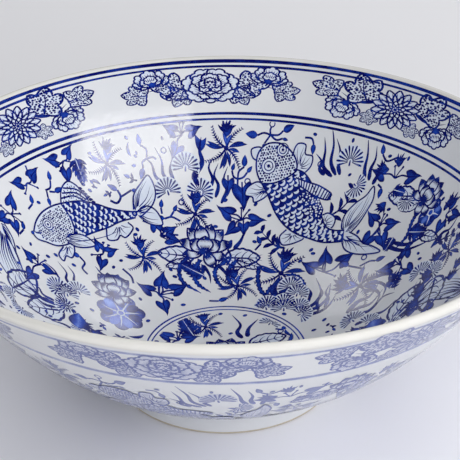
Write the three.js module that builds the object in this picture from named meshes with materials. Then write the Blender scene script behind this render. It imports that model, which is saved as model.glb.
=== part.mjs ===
// A wide porcelain serving bowl on a turned foot ring, decorated under its glaze.
// Every piece is a surface of revolution about the Z axis, and the bowl stands on z = 0.
// Lengths are millimetres.
import * as THREE from "three";

// ---- Driving dimensions ----------------------------------------------------------------------

const rimDiameter = 356; // over the outside of the lip
const bowlHeight = 128.8; // from the table to the top of the lip
const lipThickness = 4.9; // the finished wall at the lip, which is fully rounded
const floorThickness = 5.3; // the finished wall at the middle of the floor
const baseRecess = 5; // from the table up to the glazed base inside the foot ring
const floorReach = 104; // how far the level floor leads the wall's curve outwards
const rimReach = 54.5; // how far the sloping lip leads the wall's curve back down
const rimSlope = THREE.MathUtils.degToRad(51.7); // the wall's slope at the lip

const footDiameter = 126.6; // outside of the foot ring at the table
const footLean = 1; // how much smaller in radius the foot is where it joins the wall
const footWidth = 5.6; // from the outside of the ring to its inside, at the table
const footInnerLean = 1.4; // how much the ring widens inwards on its way up
const bareHeight = 1.8; // bare biscuit above the table, where the glaze is wiped off
const bearingBevel = 0.8; // worn-off corner on both sides of the bearing face
const footFillet = 2; // glaze pooled in the corner between the wall and the foot

const glazeThickness = 0.3; // clear glaze over the print
const inkThickness = 0.1; // the cobalt print, which sinks into the biscuit
const bondGap = 0.02; // clearance between layers that are fused in the real bowl
const sheetGap = 0.4; // clearance between two prints that butt edge to edge
const lipBandDrop = 1.2; // how far the ivory lip dressing runs down each side of the wall

const innerBorderWidth = 38.8; // lip band to the lower lines of the inside border
const outerBorderWidth = 34.4; // lip band to the lower lines of the outside border
const roundelRadius = 47; // the printed roundel in the middle of the floor

const ringSpacing = 26; // longest step of a profile along the wall
const lipSteps = 3; // steps round each half of the lip
const turns = 44; // flats round each piece

// ---- The wall's curve ------------------------------------------------------------------------

const lipRadius = lipThickness / 2;
const coat = glazeThickness + inkThickness + 2 * bondGap; // all that lies over the biscuit
const floorLevel = baseRecess + floorThickness;
const lipCentre = new THREE.Vector2(rimDiameter / 2 - lipRadius, bowlHeight - lipRadius);
const lipDirection = new THREE.Vector2(Math.cos(rimSlope), Math.sin(rimSlope));
const lipInward = new THREE.Vector2(-Math.sin(rimSlope), Math.cos(rimSlope));
const innerLipEnd = lipCentre.clone().addScaledVector(lipInward, lipRadius);

// The finished inside of the bowl, from the middle of the floor to the start of the lip.
const insideCurve = new THREE.CubicBezierCurve(
  new THREE.Vector2(0, floorLevel),
  new THREE.Vector2(floorReach, floorLevel),
  innerLipEnd.clone().addScaledVector(lipDirection, -rimReach),
  innerLipEnd,
);

// A point of the wall at share u of the curve, sunk by depth below the finished inside.
function insidePoint(u, depth) {
  const along = u > 0 ? insideCurve.getTangent(u) : new THREE.Vector2(1, 0);
  const downAndOut = new THREE.Vector2(along.y, -along.x);
  return insideCurve.getPoint(u).addScaledVector(downAndOut, depth);
}

// The same for the finished outside, where depth runs back towards the inside.
function outsidePoint(u, depth) {
  const wall = THREE.MathUtils.lerp(floorThickness, lipThickness, u);
  return insidePoint(u, wall - depth);
}

// The share u at which a side of the wall reaches the given measure, found by halving.
function shareWhere(measure, value) {
  let low = 0;
  let high = 1;
  for (let step = 0; step < 40; step++) {
    const middle = (low + high) / 2;
    if (measure(middle) < value) low = middle;
    else high = middle;
  }
  return (low + high) / 2;
}

const insideLength = insideCurve.getLength();
const lengthAt = (u) => {
  const steps = 200;
  let sum = 0;
  for (let i = 0; i < steps; i++) {
    sum += insideCurve.getPoint((u * i) / steps).distanceTo(insideCurve.getPoint((u * (i + 1)) / steps));
  }
  return sum;
};
const shareBelowLip = (distance) => shareWhere(lengthAt, insideLength - distance);

// Shares from one end to the other, with no step along the wall longer than ringSpacing.
function stretch(from, to) {
  const count = Math.max(1, Math.ceil((lengthAt(to) - lengthAt(from)) / ringSpacing));
  return Array.from({ length: count + 1 }, (_, i) => from + ((to - from) * i) / count);
}

// Joins stretches that share their end stations.
const chain = (...stations) => stations.flatMap((from, i) =>
  i + 1 < stations.length ? stretch(from, stations[i + 1]).slice(i ? 1 : 0) : []);

// ---- Stations where pieces start and end -----------------------------------------------------

const footTopRadius = footDiameter / 2 - footLean;
const footInnerTopRadius = footDiameter / 2 - footWidth - footInnerLean;
const outsideRadius = (u) => outsidePoint(u, 0).x;
const uLipBand = shareBelowLip(lipBandDrop);
const uInnerBorder = shareBelowLip(innerBorderWidth);
const uOuterBorder = shareBelowLip(outerBorderWidth);
const uRoundel = shareWhere((u) => insidePoint(u, 0).x, roundelRadius);
const uFootInside = shareWhere(outsideRadius, footInnerTopRadius);
const uFootOutside = shareWhere(outsideRadius, footTopRadius - coat);
const uFootFillet = shareWhere(outsideRadius, footTopRadius + footFillet);

const insideStations = chain(0, uRoundel, uInnerBorder, uLipBand, 1);
const outsideStations = chain(0, uFootInside, uFootOutside, uFootFillet, uOuterBorder, uLipBand, 1);
const between = (stations, from, to) => stations.filter((u) => u >= from && u <= to);
const insideLine = (from, to, depth) =>
  between(insideStations, from, to).map((u) => insidePoint(u, depth));
const outsideLine = (from, to, depth) =>
  between(outsideStations, from, to).map((u) => outsidePoint(u, depth));

// Draws the ends of a line of points back along its own first and last steps.
function trimmed(points, atStart, atEnd) {
  const towards = (p, q, distance) => p.clone().lerp(q, distance / p.distanceTo(q));
  const last = points.length - 1;
  const start = towards(points[0], points[1], atStart);
  const end = towards(points[last], points[last - 1], atEnd);
  return [start, ...points.slice(1, last), end];
}

// Points round the lip at a radius about its centre, from the outside over the top to the inside.
function lipArc(radius) {
  return Array.from({ length: 2 * lipSteps + 1 }, (_, i) => {
    const angle = rimSlope - Math.PI / 2 + (Math.PI * i) / (2 * lipSteps);
    return new THREE.Vector2(Math.cos(angle), Math.sin(angle)).multiplyScalar(radius).add(lipCentre);
  });
}

// ---- Pieces ----------------------------------------------------------------------------------

const bowl = new THREE.Group();

// Turns a closed outline about the Z axis. The outline runs anticlockwise, radius to the right.
function addTurned(name, outline, colour, roughness) {
  const closed = outline[0].x < 1e-9 ? outline : [...outline, outline[0].clone()];
  const geometry = new THREE.LatheGeometry(closed, turns);
  geometry.rotateX(Math.PI / 2);
  const material = new THREE.MeshStandardMaterial({ color: colour, roughness, metalness: 0 });
  const mesh = new THREE.Mesh(geometry, material);
  mesh.name = name;
  bowl.add(mesh);
}

const onAxis = (points) => points.map((p) => (p.x < 1e-6 ? new THREE.Vector2(0, p.y) : p));

// The fired body: one wall from the middle of the floor to the rounded edge.
addTurned("body", onAxis([
  ...outsideLine(0, 1, coat).slice(0, -1),
  ...lipArc(lipRadius - coat),
  ...insideLine(0, 1, coat).reverse().slice(1),
]), 0xe9e4da, 0.8);

// The foot ring, turned and luted under the body, bare where it stands on the table.
const footRadius = footDiameter / 2;
const footInnerRadius = footRadius - footWidth;
const footSideAt = (height) => footRadius - (footLean * height) / outsidePoint(uFootOutside, 0).y;
addTurned("foot_ring", [
  new THREE.Vector2(footInnerRadius + bearingBevel, 0),
  new THREE.Vector2(footRadius - bearingBevel, 0),
  new THREE.Vector2(footRadius, bearingBevel),
  new THREE.Vector2(footSideAt(bareHeight), bareHeight),
  new THREE.Vector2(footSideAt(bareHeight) - coat, bareHeight),
  ...outsideLine(uFootInside, uFootOutside, coat - bondGap).reverse(),
  new THREE.Vector2(footInnerRadius, bearingBevel),
], 0xe6ddcb, 0.85);

// The glaze on the recessed base, inside the foot ring.
addTurned("base_glaze", onAxis([
  ...trimmed(outsideLine(0, uFootInside, 0), 0, coat),
  ...trimmed(outsideLine(0, uFootInside, coat - bondGap), 0, coat).reverse(),
]), 0xeef1f4, 0.1);

// Prints in cobalt, on the biscuit under the glaze. Each is one sheet between two shares of the
// wall, and butts on its neighbours with half the sheet gap left free on each side.
const cobalt = 0x3c4f86;

function addPrint(name, line, from, to) {
  const atStart = from > 0 ? sheetGap / 2 : 0;
  const onBiscuit = trimmed(line(from, to, coat - bondGap), atStart, sheetGap / 2);
  const underGlaze = trimmed(line(from, to, glazeThickness + bondGap), atStart, sheetGap / 2);
  const outline = line === insideLine
    ? [...onBiscuit, ...underGlaze.reverse()]
    : [...underGlaze, ...onBiscuit.reverse()];
  addTurned(name, onAxis(outline), cobalt, 0.4);
}
addPrint("roundel_print", insideLine, 0, uRoundel);
addPrint("inner_field_print", insideLine, uRoundel, uInnerBorder);
addPrint("inner_border_print", insideLine, uInnerBorder, uLipBand);
addPrint("outer_field_print", outsideLine, uFootFillet, uOuterBorder);
addPrint("outer_border_print", outsideLine, uOuterBorder, uLipBand);

// The clear glaze poured over the inside, up to the lip dressing.
const glazeColour = 0xf1f4f7;
addTurned("inner_glaze", onAxis([
  ...insideLine(0, uLipBand, glazeThickness),
  ...insideLine(0, uLipBand, 0).reverse(),
]), glazeColour, 0.08);

// The outer glaze, from the lip dressing down over the wall and the foot to the wiped edge.
const footTopCorner = outsidePoint(uFootOutside, coat - bondGap);
const filletFoot = new THREE.Vector2(footTopRadius, outsidePoint(uFootFillet, 0).y - footFillet);
addTurned("outer_glaze", [
  new THREE.Vector2(footSideAt(bareHeight), bareHeight + bondGap),
  filletFoot,
  ...outsideLine(uFootFillet, uLipBand, 0),
  ...outsideLine(uFootFillet, uLipBand, glazeThickness).reverse(),
  new THREE.Vector2(footTopCorner.x + 2 * bondGap, outsidePoint(uFootOutside, coat - 2 * bondGap).y),
  new THREE.Vector2(footSideAt(bareHeight) - coat + 2 * bondGap, bareHeight + bondGap),
], glazeColour, 0.08);

// The ivory dressing over the rounded edge, butted on both glazes.
const lipShare = uLipBand + bondGap / insideLength;
addTurned("lip_dressing", [
  outsidePoint(lipShare, 0),
  ...lipArc(lipRadius),
  insidePoint(lipShare, 0),
  insidePoint(lipShare, coat - bondGap),
  ...lipArc(lipRadius - coat + bondGap).reverse(),
  outsidePoint(lipShare, coat - bondGap),
], 0xf0e6cd, 0.2);

export default bowl;
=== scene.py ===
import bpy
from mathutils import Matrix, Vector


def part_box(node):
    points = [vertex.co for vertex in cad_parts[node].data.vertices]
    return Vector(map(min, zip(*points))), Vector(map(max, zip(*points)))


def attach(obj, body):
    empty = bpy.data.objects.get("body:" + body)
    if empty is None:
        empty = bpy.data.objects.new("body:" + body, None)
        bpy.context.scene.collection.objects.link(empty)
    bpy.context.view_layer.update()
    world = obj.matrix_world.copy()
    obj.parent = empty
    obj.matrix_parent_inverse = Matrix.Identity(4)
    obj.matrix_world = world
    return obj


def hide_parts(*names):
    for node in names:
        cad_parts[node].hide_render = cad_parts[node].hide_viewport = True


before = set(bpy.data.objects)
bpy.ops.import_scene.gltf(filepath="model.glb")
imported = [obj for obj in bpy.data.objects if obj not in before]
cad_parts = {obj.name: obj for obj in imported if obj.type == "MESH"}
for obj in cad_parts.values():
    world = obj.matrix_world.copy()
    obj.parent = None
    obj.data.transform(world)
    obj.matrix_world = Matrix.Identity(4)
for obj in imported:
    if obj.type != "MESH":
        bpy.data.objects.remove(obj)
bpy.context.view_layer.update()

import bmesh
import bpy
import numpy as np
from mathutils import Matrix, Vector

# ==== The thrown body =========================================================================
# One porcelain wall, thrown thin and turned true, that runs from the middle of the floor to the
# lip. It is bare biscuit, and everything else lies on it, so its curve gives every other piece
# its place. Plans and profiles are worked out in millimetres, and meshes hold metres.

MM = 0.001
rim_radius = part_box("lip_dressing")[1][0] / MM
bowl_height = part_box("lip_dressing")[1][2] / MM
floor_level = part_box("inner_glaze")[0][2] / MM
base_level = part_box("base_glaze")[0][2] / MM
lip_thickness = 4.9
floor_thickness = floor_level - base_level
floor_reach = 104.0
rim_reach = 54.5
rim_slope = np.radians(51.7)
coat = 0.44
glaze_gather = 7.0
turns = 384
sharp_edge = np.radians(40)

lip_radius = lip_thickness / 2
lip_centre = np.array([rim_radius - lip_radius, bowl_height - lip_radius])
lip_along = np.array([np.cos(rim_slope), np.sin(rim_slope)])
lip_inward = np.array([-np.sin(rim_slope), np.cos(rim_slope)])


def wall_curve(count=1201):
    """Cubic curve of the finished inside, from the middle of the floor to the start of the lip.

    Its four control points are the middle of the floor, a level reach outwards, a reach back
    down the slope of the lip, and the lip's inner end. Gives points and downward normals.
    """
    end = lip_centre + lip_radius * lip_inward
    control = np.array([[0, floor_level], [floor_reach, floor_level], end - rim_reach * lip_along, end])
    u = np.linspace(0, 1, count)[:, None]
    weights = np.hstack([(1 - u) ** 3, 3 * u * (1 - u) ** 2, 3 * u**2 * (1 - u), u**3])
    points = weights @ control
    along = np.gradient(points, axis=0)
    along /= np.linalg.norm(along, axis=1)[:, None]
    return points, np.stack([along[:, 1], -along[:, 0]], 1)


class Side:
    """One side of the wall: tables from the arc length off the axis to radius, height and normal.

    The shine is the normal that the fired glaze shows. Where the glaze gathers under the lip it
    leans from the wall's own normal, by an angle that eases in over the last stretch of the arc.
    """

    def __init__(self, points, normals, gather=0.0, stretch=36.0):
        steps = np.linalg.norm(np.diff(points, axis=0), axis=1)
        self.arc = np.concatenate([[0], np.cumsum(steps)])
        self.points = points
        self.normals = normals
        self.length = self.arc[-1]
        share = np.clip((self.arc - self.length + stretch) / stretch, 0, 1)
        lean = np.radians(gather) * share**2 * (3 - 2 * share)
        turned_normals = (normals[:, 0] + 1j * normals[:, 1]) * np.exp(1j * lean)
        self.shine = np.stack([turned_normals.real, turned_normals.imag], 1)

    def at(self, arc, lift=0.0):
        """Profile point at an arc length, lifted off the surface along its normal."""
        point = np.stack([np.interp(arc, self.arc, self.points[:, i]) for i in (0, 1)], -1)
        normal = np.stack([np.interp(arc, self.arc, self.normals[:, i]) for i in (0, 1)], -1)
        return point + np.asarray(lift)[..., None] * normal, normal

    def place(self, plan, lift):
        """A plan point x + iy lies its own length along the wall, in its own direction."""
        arc = np.abs(plan)
        point = self.at(arc, lift)[0]
        way = np.where(arc > 1e-9, plan / np.maximum(arc, 1e-9), 1)
        shine = np.stack([np.interp(arc, self.arc, self.shine[:, i]) for i in (0, 1)], -1)
        spin = lambda pair: np.stack([pair[..., 0] * way.real, pair[..., 0] * way.imag, pair[..., 1]], -1)
        return spin(point), spin(shine)


def both_sides():
    """The inside curve, and the outside curve one wall thickness below it."""
    points, down = wall_curve()
    share = np.linspace(0, 1, len(points))[:, None]
    wall = floor_thickness + (lip_thickness - floor_thickness) * share
    return Side(points, -down, gather=glaze_gather), Side(points + wall * down, down)


inside, outside = both_sides()


def profile(side, low, high, depth, step=2.0):
    """Profile points of one side between two arc lengths, at a depth under its surface."""
    count = max(2, int(abs(high - low) / step) + 1)
    return side.at(np.linspace(low, high, count), np.full(count, -depth))[0]


def lip_arc(radius, count=17):
    """Half circle about the lip's centre, from the outside over the top to the inside."""
    angle = rim_slope - np.pi / 2 + np.linspace(0, np.pi, count)
    return lip_centre + radius * np.stack([np.cos(angle), np.sin(angle)], 1)


def turned(name, outline, material):
    """A closed outline of (radius, height), anticlockwise, turned about the Z axis."""
    outline = np.asarray(outline)
    on_axis = outline[:, 0] < 1e-6
    ring = np.linspace(0, 2 * np.pi, turns, endpoint=False)
    count = len(outline)
    x = outline[:, 0][None] * np.cos(ring)[:, None]
    y = outline[:, 0][None] * np.sin(ring)[:, None]
    z = np.broadcast_to(outline[:, 1], x.shape)
    vertices = np.stack([x, y, z], -1).reshape(-1, 3) * MM
    i, j = np.meshgrid(np.arange(turns), np.arange(count), indexing="ij")
    here = i * count + j
    above = i * count + (j + 1) % count
    i_next = (i + 1) % turns
    quads = np.stack([here, i_next * count + j, i_next * count + (j + 1) % count, above], -1)
    keep = ~(on_axis[j] & on_axis[(j + 1) % count])
    mesh = bpy.data.meshes.new(name)
    mesh.from_pydata(vertices.tolist(), [], quads[keep].tolist())
    weld(mesh)
    mesh.polygons.foreach_set("use_smooth", np.ones(len(mesh.polygons), bool))
    mesh.set_sharp_from_angle(angle=sharp_edge)
    piece = bpy.data.objects.new(name, mesh)
    bpy.context.scene.collection.objects.link(piece)
    mesh.materials.append(material)
    return piece


def weld(mesh):
    """Merges the points that share a pole or a pinched end, and drops faces of no area."""
    work = bmesh.new()
    work.from_mesh(mesh)
    bmesh.ops.remove_doubles(work, verts=work.verts, dist=2e-8)
    bmesh.ops.dissolve_degenerate(work, edges=work.edges, dist=2e-8)
    work.to_mesh(mesh)
    work.free()


def cloud(nodes, links, coordinates, scale, detail):
    """A noise texture on Object coordinates, as every finish here uses for its unevenness."""
    texture = nodes.new("ShaderNodeTexNoise")
    texture.inputs["Scale"].default_value = scale
    texture.inputs["Detail"].default_value = detail
    links.new(coordinates, texture.inputs["Vector"])
    return texture.outputs["Fac"]


def spread(nodes, links, value, low, high):
    """Maps a noise value from 0.3 to 0.7 onto a span of another size."""
    remap = nodes.new("ShaderNodeMapRange")
    remap.inputs["From Min"].default_value = 0.3
    remap.inputs["From Max"].default_value = 0.7
    remap.inputs["To Min"].default_value = low
    remap.inputs["To Max"].default_value = high
    links.new(value, remap.inputs["Value"])
    return remap.outputs["Result"]


def ramp(nodes, links, value, stops):
    """A colour ramp from a list of (position, colour)."""
    node = nodes.new("ShaderNodeValToRGB")
    band = node.color_ramp.elements
    for index, (position, colour) in enumerate(stops):
        stop = band[index] if index < 2 else band.new(position)
        stop.position = position
        stop.color = (*colour, 1)
    links.new(value, node.inputs["Fac"])
    return node.outputs["Color"]


def finish(name):
    """A new material: its nodes, links, Principled shader and Object coordinates."""
    material = bpy.data.materials.new(name)
    material.use_nodes = True
    nodes, links = material.node_tree.nodes, material.node_tree.links
    place = nodes.new("ShaderNodeTexCoord").outputs["Object"]
    return material, nodes, links, nodes["Principled BSDF"], place


def biscuit(name, pale, dark):
    """Bare fired porcelain: matt, with turning rings too fine to see and a little grain."""
    material, nodes, links, shader, place = finish(name)
    tint = ramp(nodes, links, cloud(nodes, links, place, 90, 6), [(0.3, dark), (0.7, pale)])
    links.new(tint, shader.inputs["Base Color"])
    grain = nodes.new("ShaderNodeBump")
    grain.inputs["Strength"].default_value = 0.25
    grain.inputs["Distance"].default_value = 0.0002
    links.new(cloud(nodes, links, place, 2600, 4), grain.inputs["Height"])
    links.new(grain.outputs["Normal"], shader.inputs["Normal"])
    rough = spread(nodes, links, cloud(nodes, links, place, 500, 3), 0.62, 0.85)
    links.new(rough, shader.inputs["Roughness"])
    return material


biscuit_body = biscuit("biscuit_body", (0.76, 0.73, 0.66), (0.70, 0.66, 0.58))
body = turned("thrown_body", np.vstack([
    profile(outside, 0, outside.length, coat)[:-1],
    lip_arc(lip_radius - coat),
    profile(inside, inside.length, 0, coat)[1:],
]), biscuit_body)
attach(body, "root")
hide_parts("body")

# ==== The foot ring ===========================================================================
# A ring turned from the same clay and luted under the floor. Its sides are glazed with the wall,
# and the glaze is wiped off the bearing edge, which fires to a toasted cream.

foot_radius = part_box("foot_ring")[1][0] / MM
foot_lean = 1.0
foot_width = 5.6
foot_inner_lean = 1.4
bare_height = 1.1
bearing_bevel = 0.8
bond_gap = 0.02


def arc_at(side, radius):
    """Arc length at which a side of the wall reaches a radius."""
    return float(np.interp(radius, side.points[:, 0], side.arc))


foot_top_arc = arc_at(outside, foot_radius - foot_lean - coat)
foot_inner_arc = arc_at(outside, foot_radius - foot_width - foot_inner_lean)
foot_top_height = outside.at(foot_top_arc)[0][1]


def foot_side(height):
    """Radius of the foot's outside, which leans in towards the wall."""
    return foot_radius - foot_lean * height / foot_top_height


def rounded(corner, radius, start, end, count=6):
    """Points of a quarter round about a centre, from one angle to another in degrees."""
    angle = np.radians(np.linspace(start, end, count))
    return np.asarray(corner) + radius * np.stack([np.cos(angle), np.sin(angle)], 1)


foot_inner_radius = foot_radius - foot_width
bare_edge = biscuit("bare_bearing_edge", (0.66, 0.60, 0.49), (0.52, 0.44, 0.32))
foot = turned("foot_ring_turned", np.vstack([
    rounded((foot_inner_radius + bearing_bevel, bearing_bevel), bearing_bevel, 180, 270),
    rounded((foot_radius - bearing_bevel, bearing_bevel), bearing_bevel, -90, 0),
    [(foot_side(bare_height), bare_height), (foot_side(bare_height) - coat, bare_height)],
    profile(outside, foot_top_arc, foot_inner_arc, coat - bond_gap),
]), bare_edge)
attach(foot, "root")
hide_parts("foot_ring")

# ==== The clear glaze =========================================================================
# A feldspathic glaze poured over the inside, the outside and the recessed base, a third of a
# millimetre thick. It fires to a hard gloss with a faint orange-peel skin and a cool white tone.

glaze_thickness = 0.3
lip_band = 1.2
foot_fillet = 2.0
fillet_hollow = 0.55
wipe_bevel = 0.12
ripple_scale = 260.0
glaze_index = 1.25


def glaze_skin():
    """Node group: the height of the glaze's orange-peel skin, and its slow change of gloss."""
    group = bpy.data.node_groups.new("glaze_skin", "ShaderNodeTree")
    group.interface.new_socket("Vector", in_out="INPUT", socket_type="NodeSocketVector")
    group.interface.new_socket("Height", in_out="OUTPUT", socket_type="NodeSocketFloat")
    group.interface.new_socket("Roughness", in_out="OUTPUT", socket_type="NodeSocketFloat")
    nodes, links = group.nodes, group.links
    place = nodes.new("NodeGroupInput").outputs["Vector"]
    result = nodes.new("NodeGroupOutput")
    add = nodes.new("ShaderNodeMath")
    add.operation = "MULTIPLY_ADD"
    add.inputs[1].default_value = 0.35
    links.new(cloud(nodes, links, place, ripple_scale * 2.6, 2), add.inputs[0])
    links.new(cloud(nodes, links, place, ripple_scale, 2), add.inputs[2])
    links.new(add.outputs["Value"], result.inputs["Height"])
    gloss = spread(nodes, links, cloud(nodes, links, place, 30, 3), 0.045, 0.085)
    links.new(gloss, result.inputs["Roughness"])
    return group


skin = glaze_skin()


def glazed(name, colour_stops, scale):
    """A glossy glazed finish whose colour drifts slowly between its stops."""
    material, nodes, links, shader, place = finish(name)
    gloss(nodes, links, shader, place)
    shader.inputs["IOR"].default_value = glaze_index
    tint = ramp(nodes, links, cloud(nodes, links, place, scale, 4), colour_stops)
    links.new(tint, shader.inputs["Base Color"])
    return material


def gloss(nodes, links, shader, place):
    """Gives a shader the glaze's skin, so that reflections run on across prints and white."""
    layer = nodes.new("ShaderNodeGroup")
    layer.node_tree = skin
    links.new(place, layer.inputs["Vector"])
    bump = nodes.new("ShaderNodeBump")
    bump.inputs["Strength"].default_value = 0.10
    bump.inputs["Distance"].default_value = 0.0004
    links.new(layer.outputs["Height"], bump.inputs["Height"])
    links.new(bump.outputs["Normal"], shader.inputs["Normal"])
    links.new(layer.outputs["Roughness"], shader.inputs["Roughness"])


clear_glaze = glazed("clear_glaze", [(0.3, (0.74, 0.76, 0.79)), (0.7, (0.79, 0.80, 0.82))], 14)
lip_start = inside.length - lip_band
inner_glaze = turned("inner_glaze_coat", np.vstack([
    profile(inside, 0, lip_start, glaze_thickness),
    profile(inside, lip_start, 0, 0),
]), clear_glaze)
gathered = np.array([vertex.co for vertex in inner_glaze.data.vertices]) / MM
reach = np.hypot(gathered[:, 0], gathered[:, 1])
way = (gathered[:, 0] + 1j * gathered[:, 1]) / np.maximum(reach, 1e-9)
shine = inside.place(np.interp(reach, inside.points[:, 0], inside.arc) * way, np.zeros(len(reach)))[1]
glaze_top = np.interp(reach, inside.points[:, 0], inside.points[:, 1])
underside = gathered[:, 2] < glaze_top - 2 / 3 * glaze_thickness
shine[underside] *= -1
inner_glaze.data.normals_split_custom_set_from_vertices(shine)

outer_lip_start = outside.length - lip_band
fillet_arc = arc_at(outside, foot_radius - foot_lean + foot_fillet)
fillet_wall = outside.at(fillet_arc)[0]
fillet_foot = np.array([foot_side(fillet_wall[1] - foot_fillet), fillet_wall[1] - foot_fillet])
fillet_corner = np.array([fillet_foot[0], fillet_wall[1] - fillet_hollow])
fillet_share = np.linspace(0, 1, 9)[:, None]
fillet = ((1 - fillet_share) ** 2 * fillet_foot + 2 * fillet_share * (1 - fillet_share) * fillet_corner
          + fillet_share**2 * fillet_wall)
wiped_edge = bare_height + bond_gap
outer_glaze = turned("outer_glaze_coat", np.vstack([
    [(foot_side(wiped_edge) - wipe_bevel, wiped_edge), (foot_side(wiped_edge), wiped_edge + wipe_bevel)],
    fillet[:-1],
    profile(outside, fillet_arc, outer_lip_start, 0),
    profile(outside, outer_lip_start, fillet_arc, glaze_thickness),
    [(foot_side(foot_top_height) - coat + wipe_bevel / 2, foot_top_height - wipe_bevel / 2),
     (foot_side(wiped_edge) - coat + wipe_bevel / 2, wiped_edge)],
]), clear_glaze)
base_edge = foot_inner_arc - coat
base_glaze = turned("base_glaze_coat", np.vstack([
    profile(outside, 0, base_edge, 0),
    profile(outside, base_edge, 0, coat - bond_gap),
]), clear_glaze)
coats = {"inner_glaze": inner_glaze, "outer_glaze": outer_glaze, "base_glaze": base_glaze}
for node, coat_piece in coats.items():
    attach(coat_piece, "root")
    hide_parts(node)

# ==== The ivory lip ===========================================================================
# The rounded edge is dressed with a band of ivory slip, where the white glaze draws back from it.
# It closes the two glazes over the top of the wall.

ivory = glazed("ivory_glaze", [(0.3, (0.77, 0.762, 0.725)), (0.7, (0.805, 0.795, 0.765))], 60)
slip_depth = coat - bond_gap
lip = turned("ivory_lip", np.vstack([
    profile(outside, outer_lip_start, outside.length, 0)[:-1],
    lip_arc(lip_radius, 33),
    profile(inside, inside.length, lip_start, 0)[1:],
    profile(inside, lip_start, inside.length, slip_depth)[:-1],
    lip_arc(lip_radius - slip_depth, 33)[::-1],
    profile(outside, outside.length, outer_lip_start, slip_depth)[1:],
]), ivory)
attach(lip, "root")
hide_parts("lip_dressing")

# ==== The banding lines inside ================================================================
# Pairs of cobalt rings, run on with a loaded brush while the bowl turns on the wheel, before the
# prints are laid. Every mark is a thin sheet just proud of the glaze that it shows through, and
# the white inside a motif is a sheet too, which hides the marks behind it.

UNDER, OVER = 0.02, 0.005  # the lowest sheet's height over the glaze, and the rise of each level
cobalt_index = 1.56


class Marks:
    """Brush marks on the plan of one side: points x + iy in millimetres, with a lift and a tone."""

    def __init__(self):
        self.points, self.lifts, self.tones, self.corners = [], [], [], []
        self.count = 0

    def add(self, points, corners, level, tone):
        """Adds triangles, with one level for all points and one tone for each point or for all."""
        tones = np.broadcast_to(np.asarray(tone, float), np.shape(points))
        self.points.append(np.ravel(points))
        self.lifts.append(np.full(np.size(points), UNDER + OVER * level))
        self.tones.append(np.ravel(tones))
        self.corners.append(np.asarray(corners) + self.count)
        self.count += np.size(points)

    def grid(self, points, level, tone):
        """Adds a grid of points, rows by columns, as two triangles for each cell."""
        rows, columns = points.shape
        i, j = np.meshgrid(np.arange(rows - 1), np.arange(columns - 1), indexing="ij")
        a = (i * columns + j).ravel()
        b, c, d = a + 1, a + columns + 1, a + columns
        corners = np.concatenate([np.stack([a, b, c], 1), np.stack([a, c, d], 1)])
        self.add(points, corners, level, tone)


def ring(marks, arc, width, phase, tone=0.85, waver=0.06, pooled_edge=0.05):
    """A banded line all round at an arc length, whose width and place waver slowly."""
    turn = np.linspace(0, 2 * np.pi, turns + 1)
    drift = waver * np.sin(3 * turn + phase) + 0.5 * waver * np.sin(7 * turn + 2 * phase)
    half = width / 2 * (1 + 0.12 * np.sin(5 * turn + phase))
    arcs = arc + drift[:, None] + half[:, None] * np.array([-1, 0, 1])
    pooled = tone + 0.08 * np.sin(4 * turn + 1 + phase)[:, None] + pooled_edge * np.array([1, 0, 1])
    marks.grid(arcs * np.exp(1j * turn)[:, None], 0, pooled)


def cobalt(name, pale, middle, deep, blotch):
    """Cobalt under glaze: the tone painted on each mark, broken up by pooled and starved ink."""
    material, nodes, links, shader, place = finish(name)
    gloss(nodes, links, shader, place)
    shader.inputs["IOR"].default_value = cobalt_index
    painted = nodes.new("ShaderNodeAttribute")
    painted.attribute_name = "tone"
    pool = spread(nodes, links, cloud(nodes, links, place, 160, 3), -blotch, blotch)
    fleck = spread(nodes, links, cloud(nodes, links, place, 1500, 2), -0.6 * blotch, 0.6 * blotch)
    total = painted.outputs["Fac"]
    for part in (pool, fleck):
        add = nodes.new("ShaderNodeMath")
        add.operation = "ADD"
        links.new(total, add.inputs[0])
        links.new(part, add.inputs[1])
        total = add.outputs["Value"]
    tint = ramp(nodes, links, total, [(0.05, pale), (0.95, deep), (0.5, middle)])
    links.new(tint, shader.inputs["Base Color"])
    return material


cobalt_ink = cobalt("cobalt_ink", (0.21, 0.35, 0.84), (0.014, 0.070, 0.52), (0.0004, 0.003, 0.13), 0.15)
cobalt_soft = cobalt("cobalt_soft", (0.60, 0.63, 0.78), (0.21, 0.25, 0.49), (0.10, 0.13, 0.37), 0.16)
reserve_white = glazed("reserve_white", [(0.3, (0.64, 0.71, 0.84)), (0.7, (0.73, 0.78, 0.87))], 220)
reserve_bled = glazed("reserve_bled", [(0.3, (0.51, 0.54, 0.68)), (0.7, (0.63, 0.65, 0.76))], 220)


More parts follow.
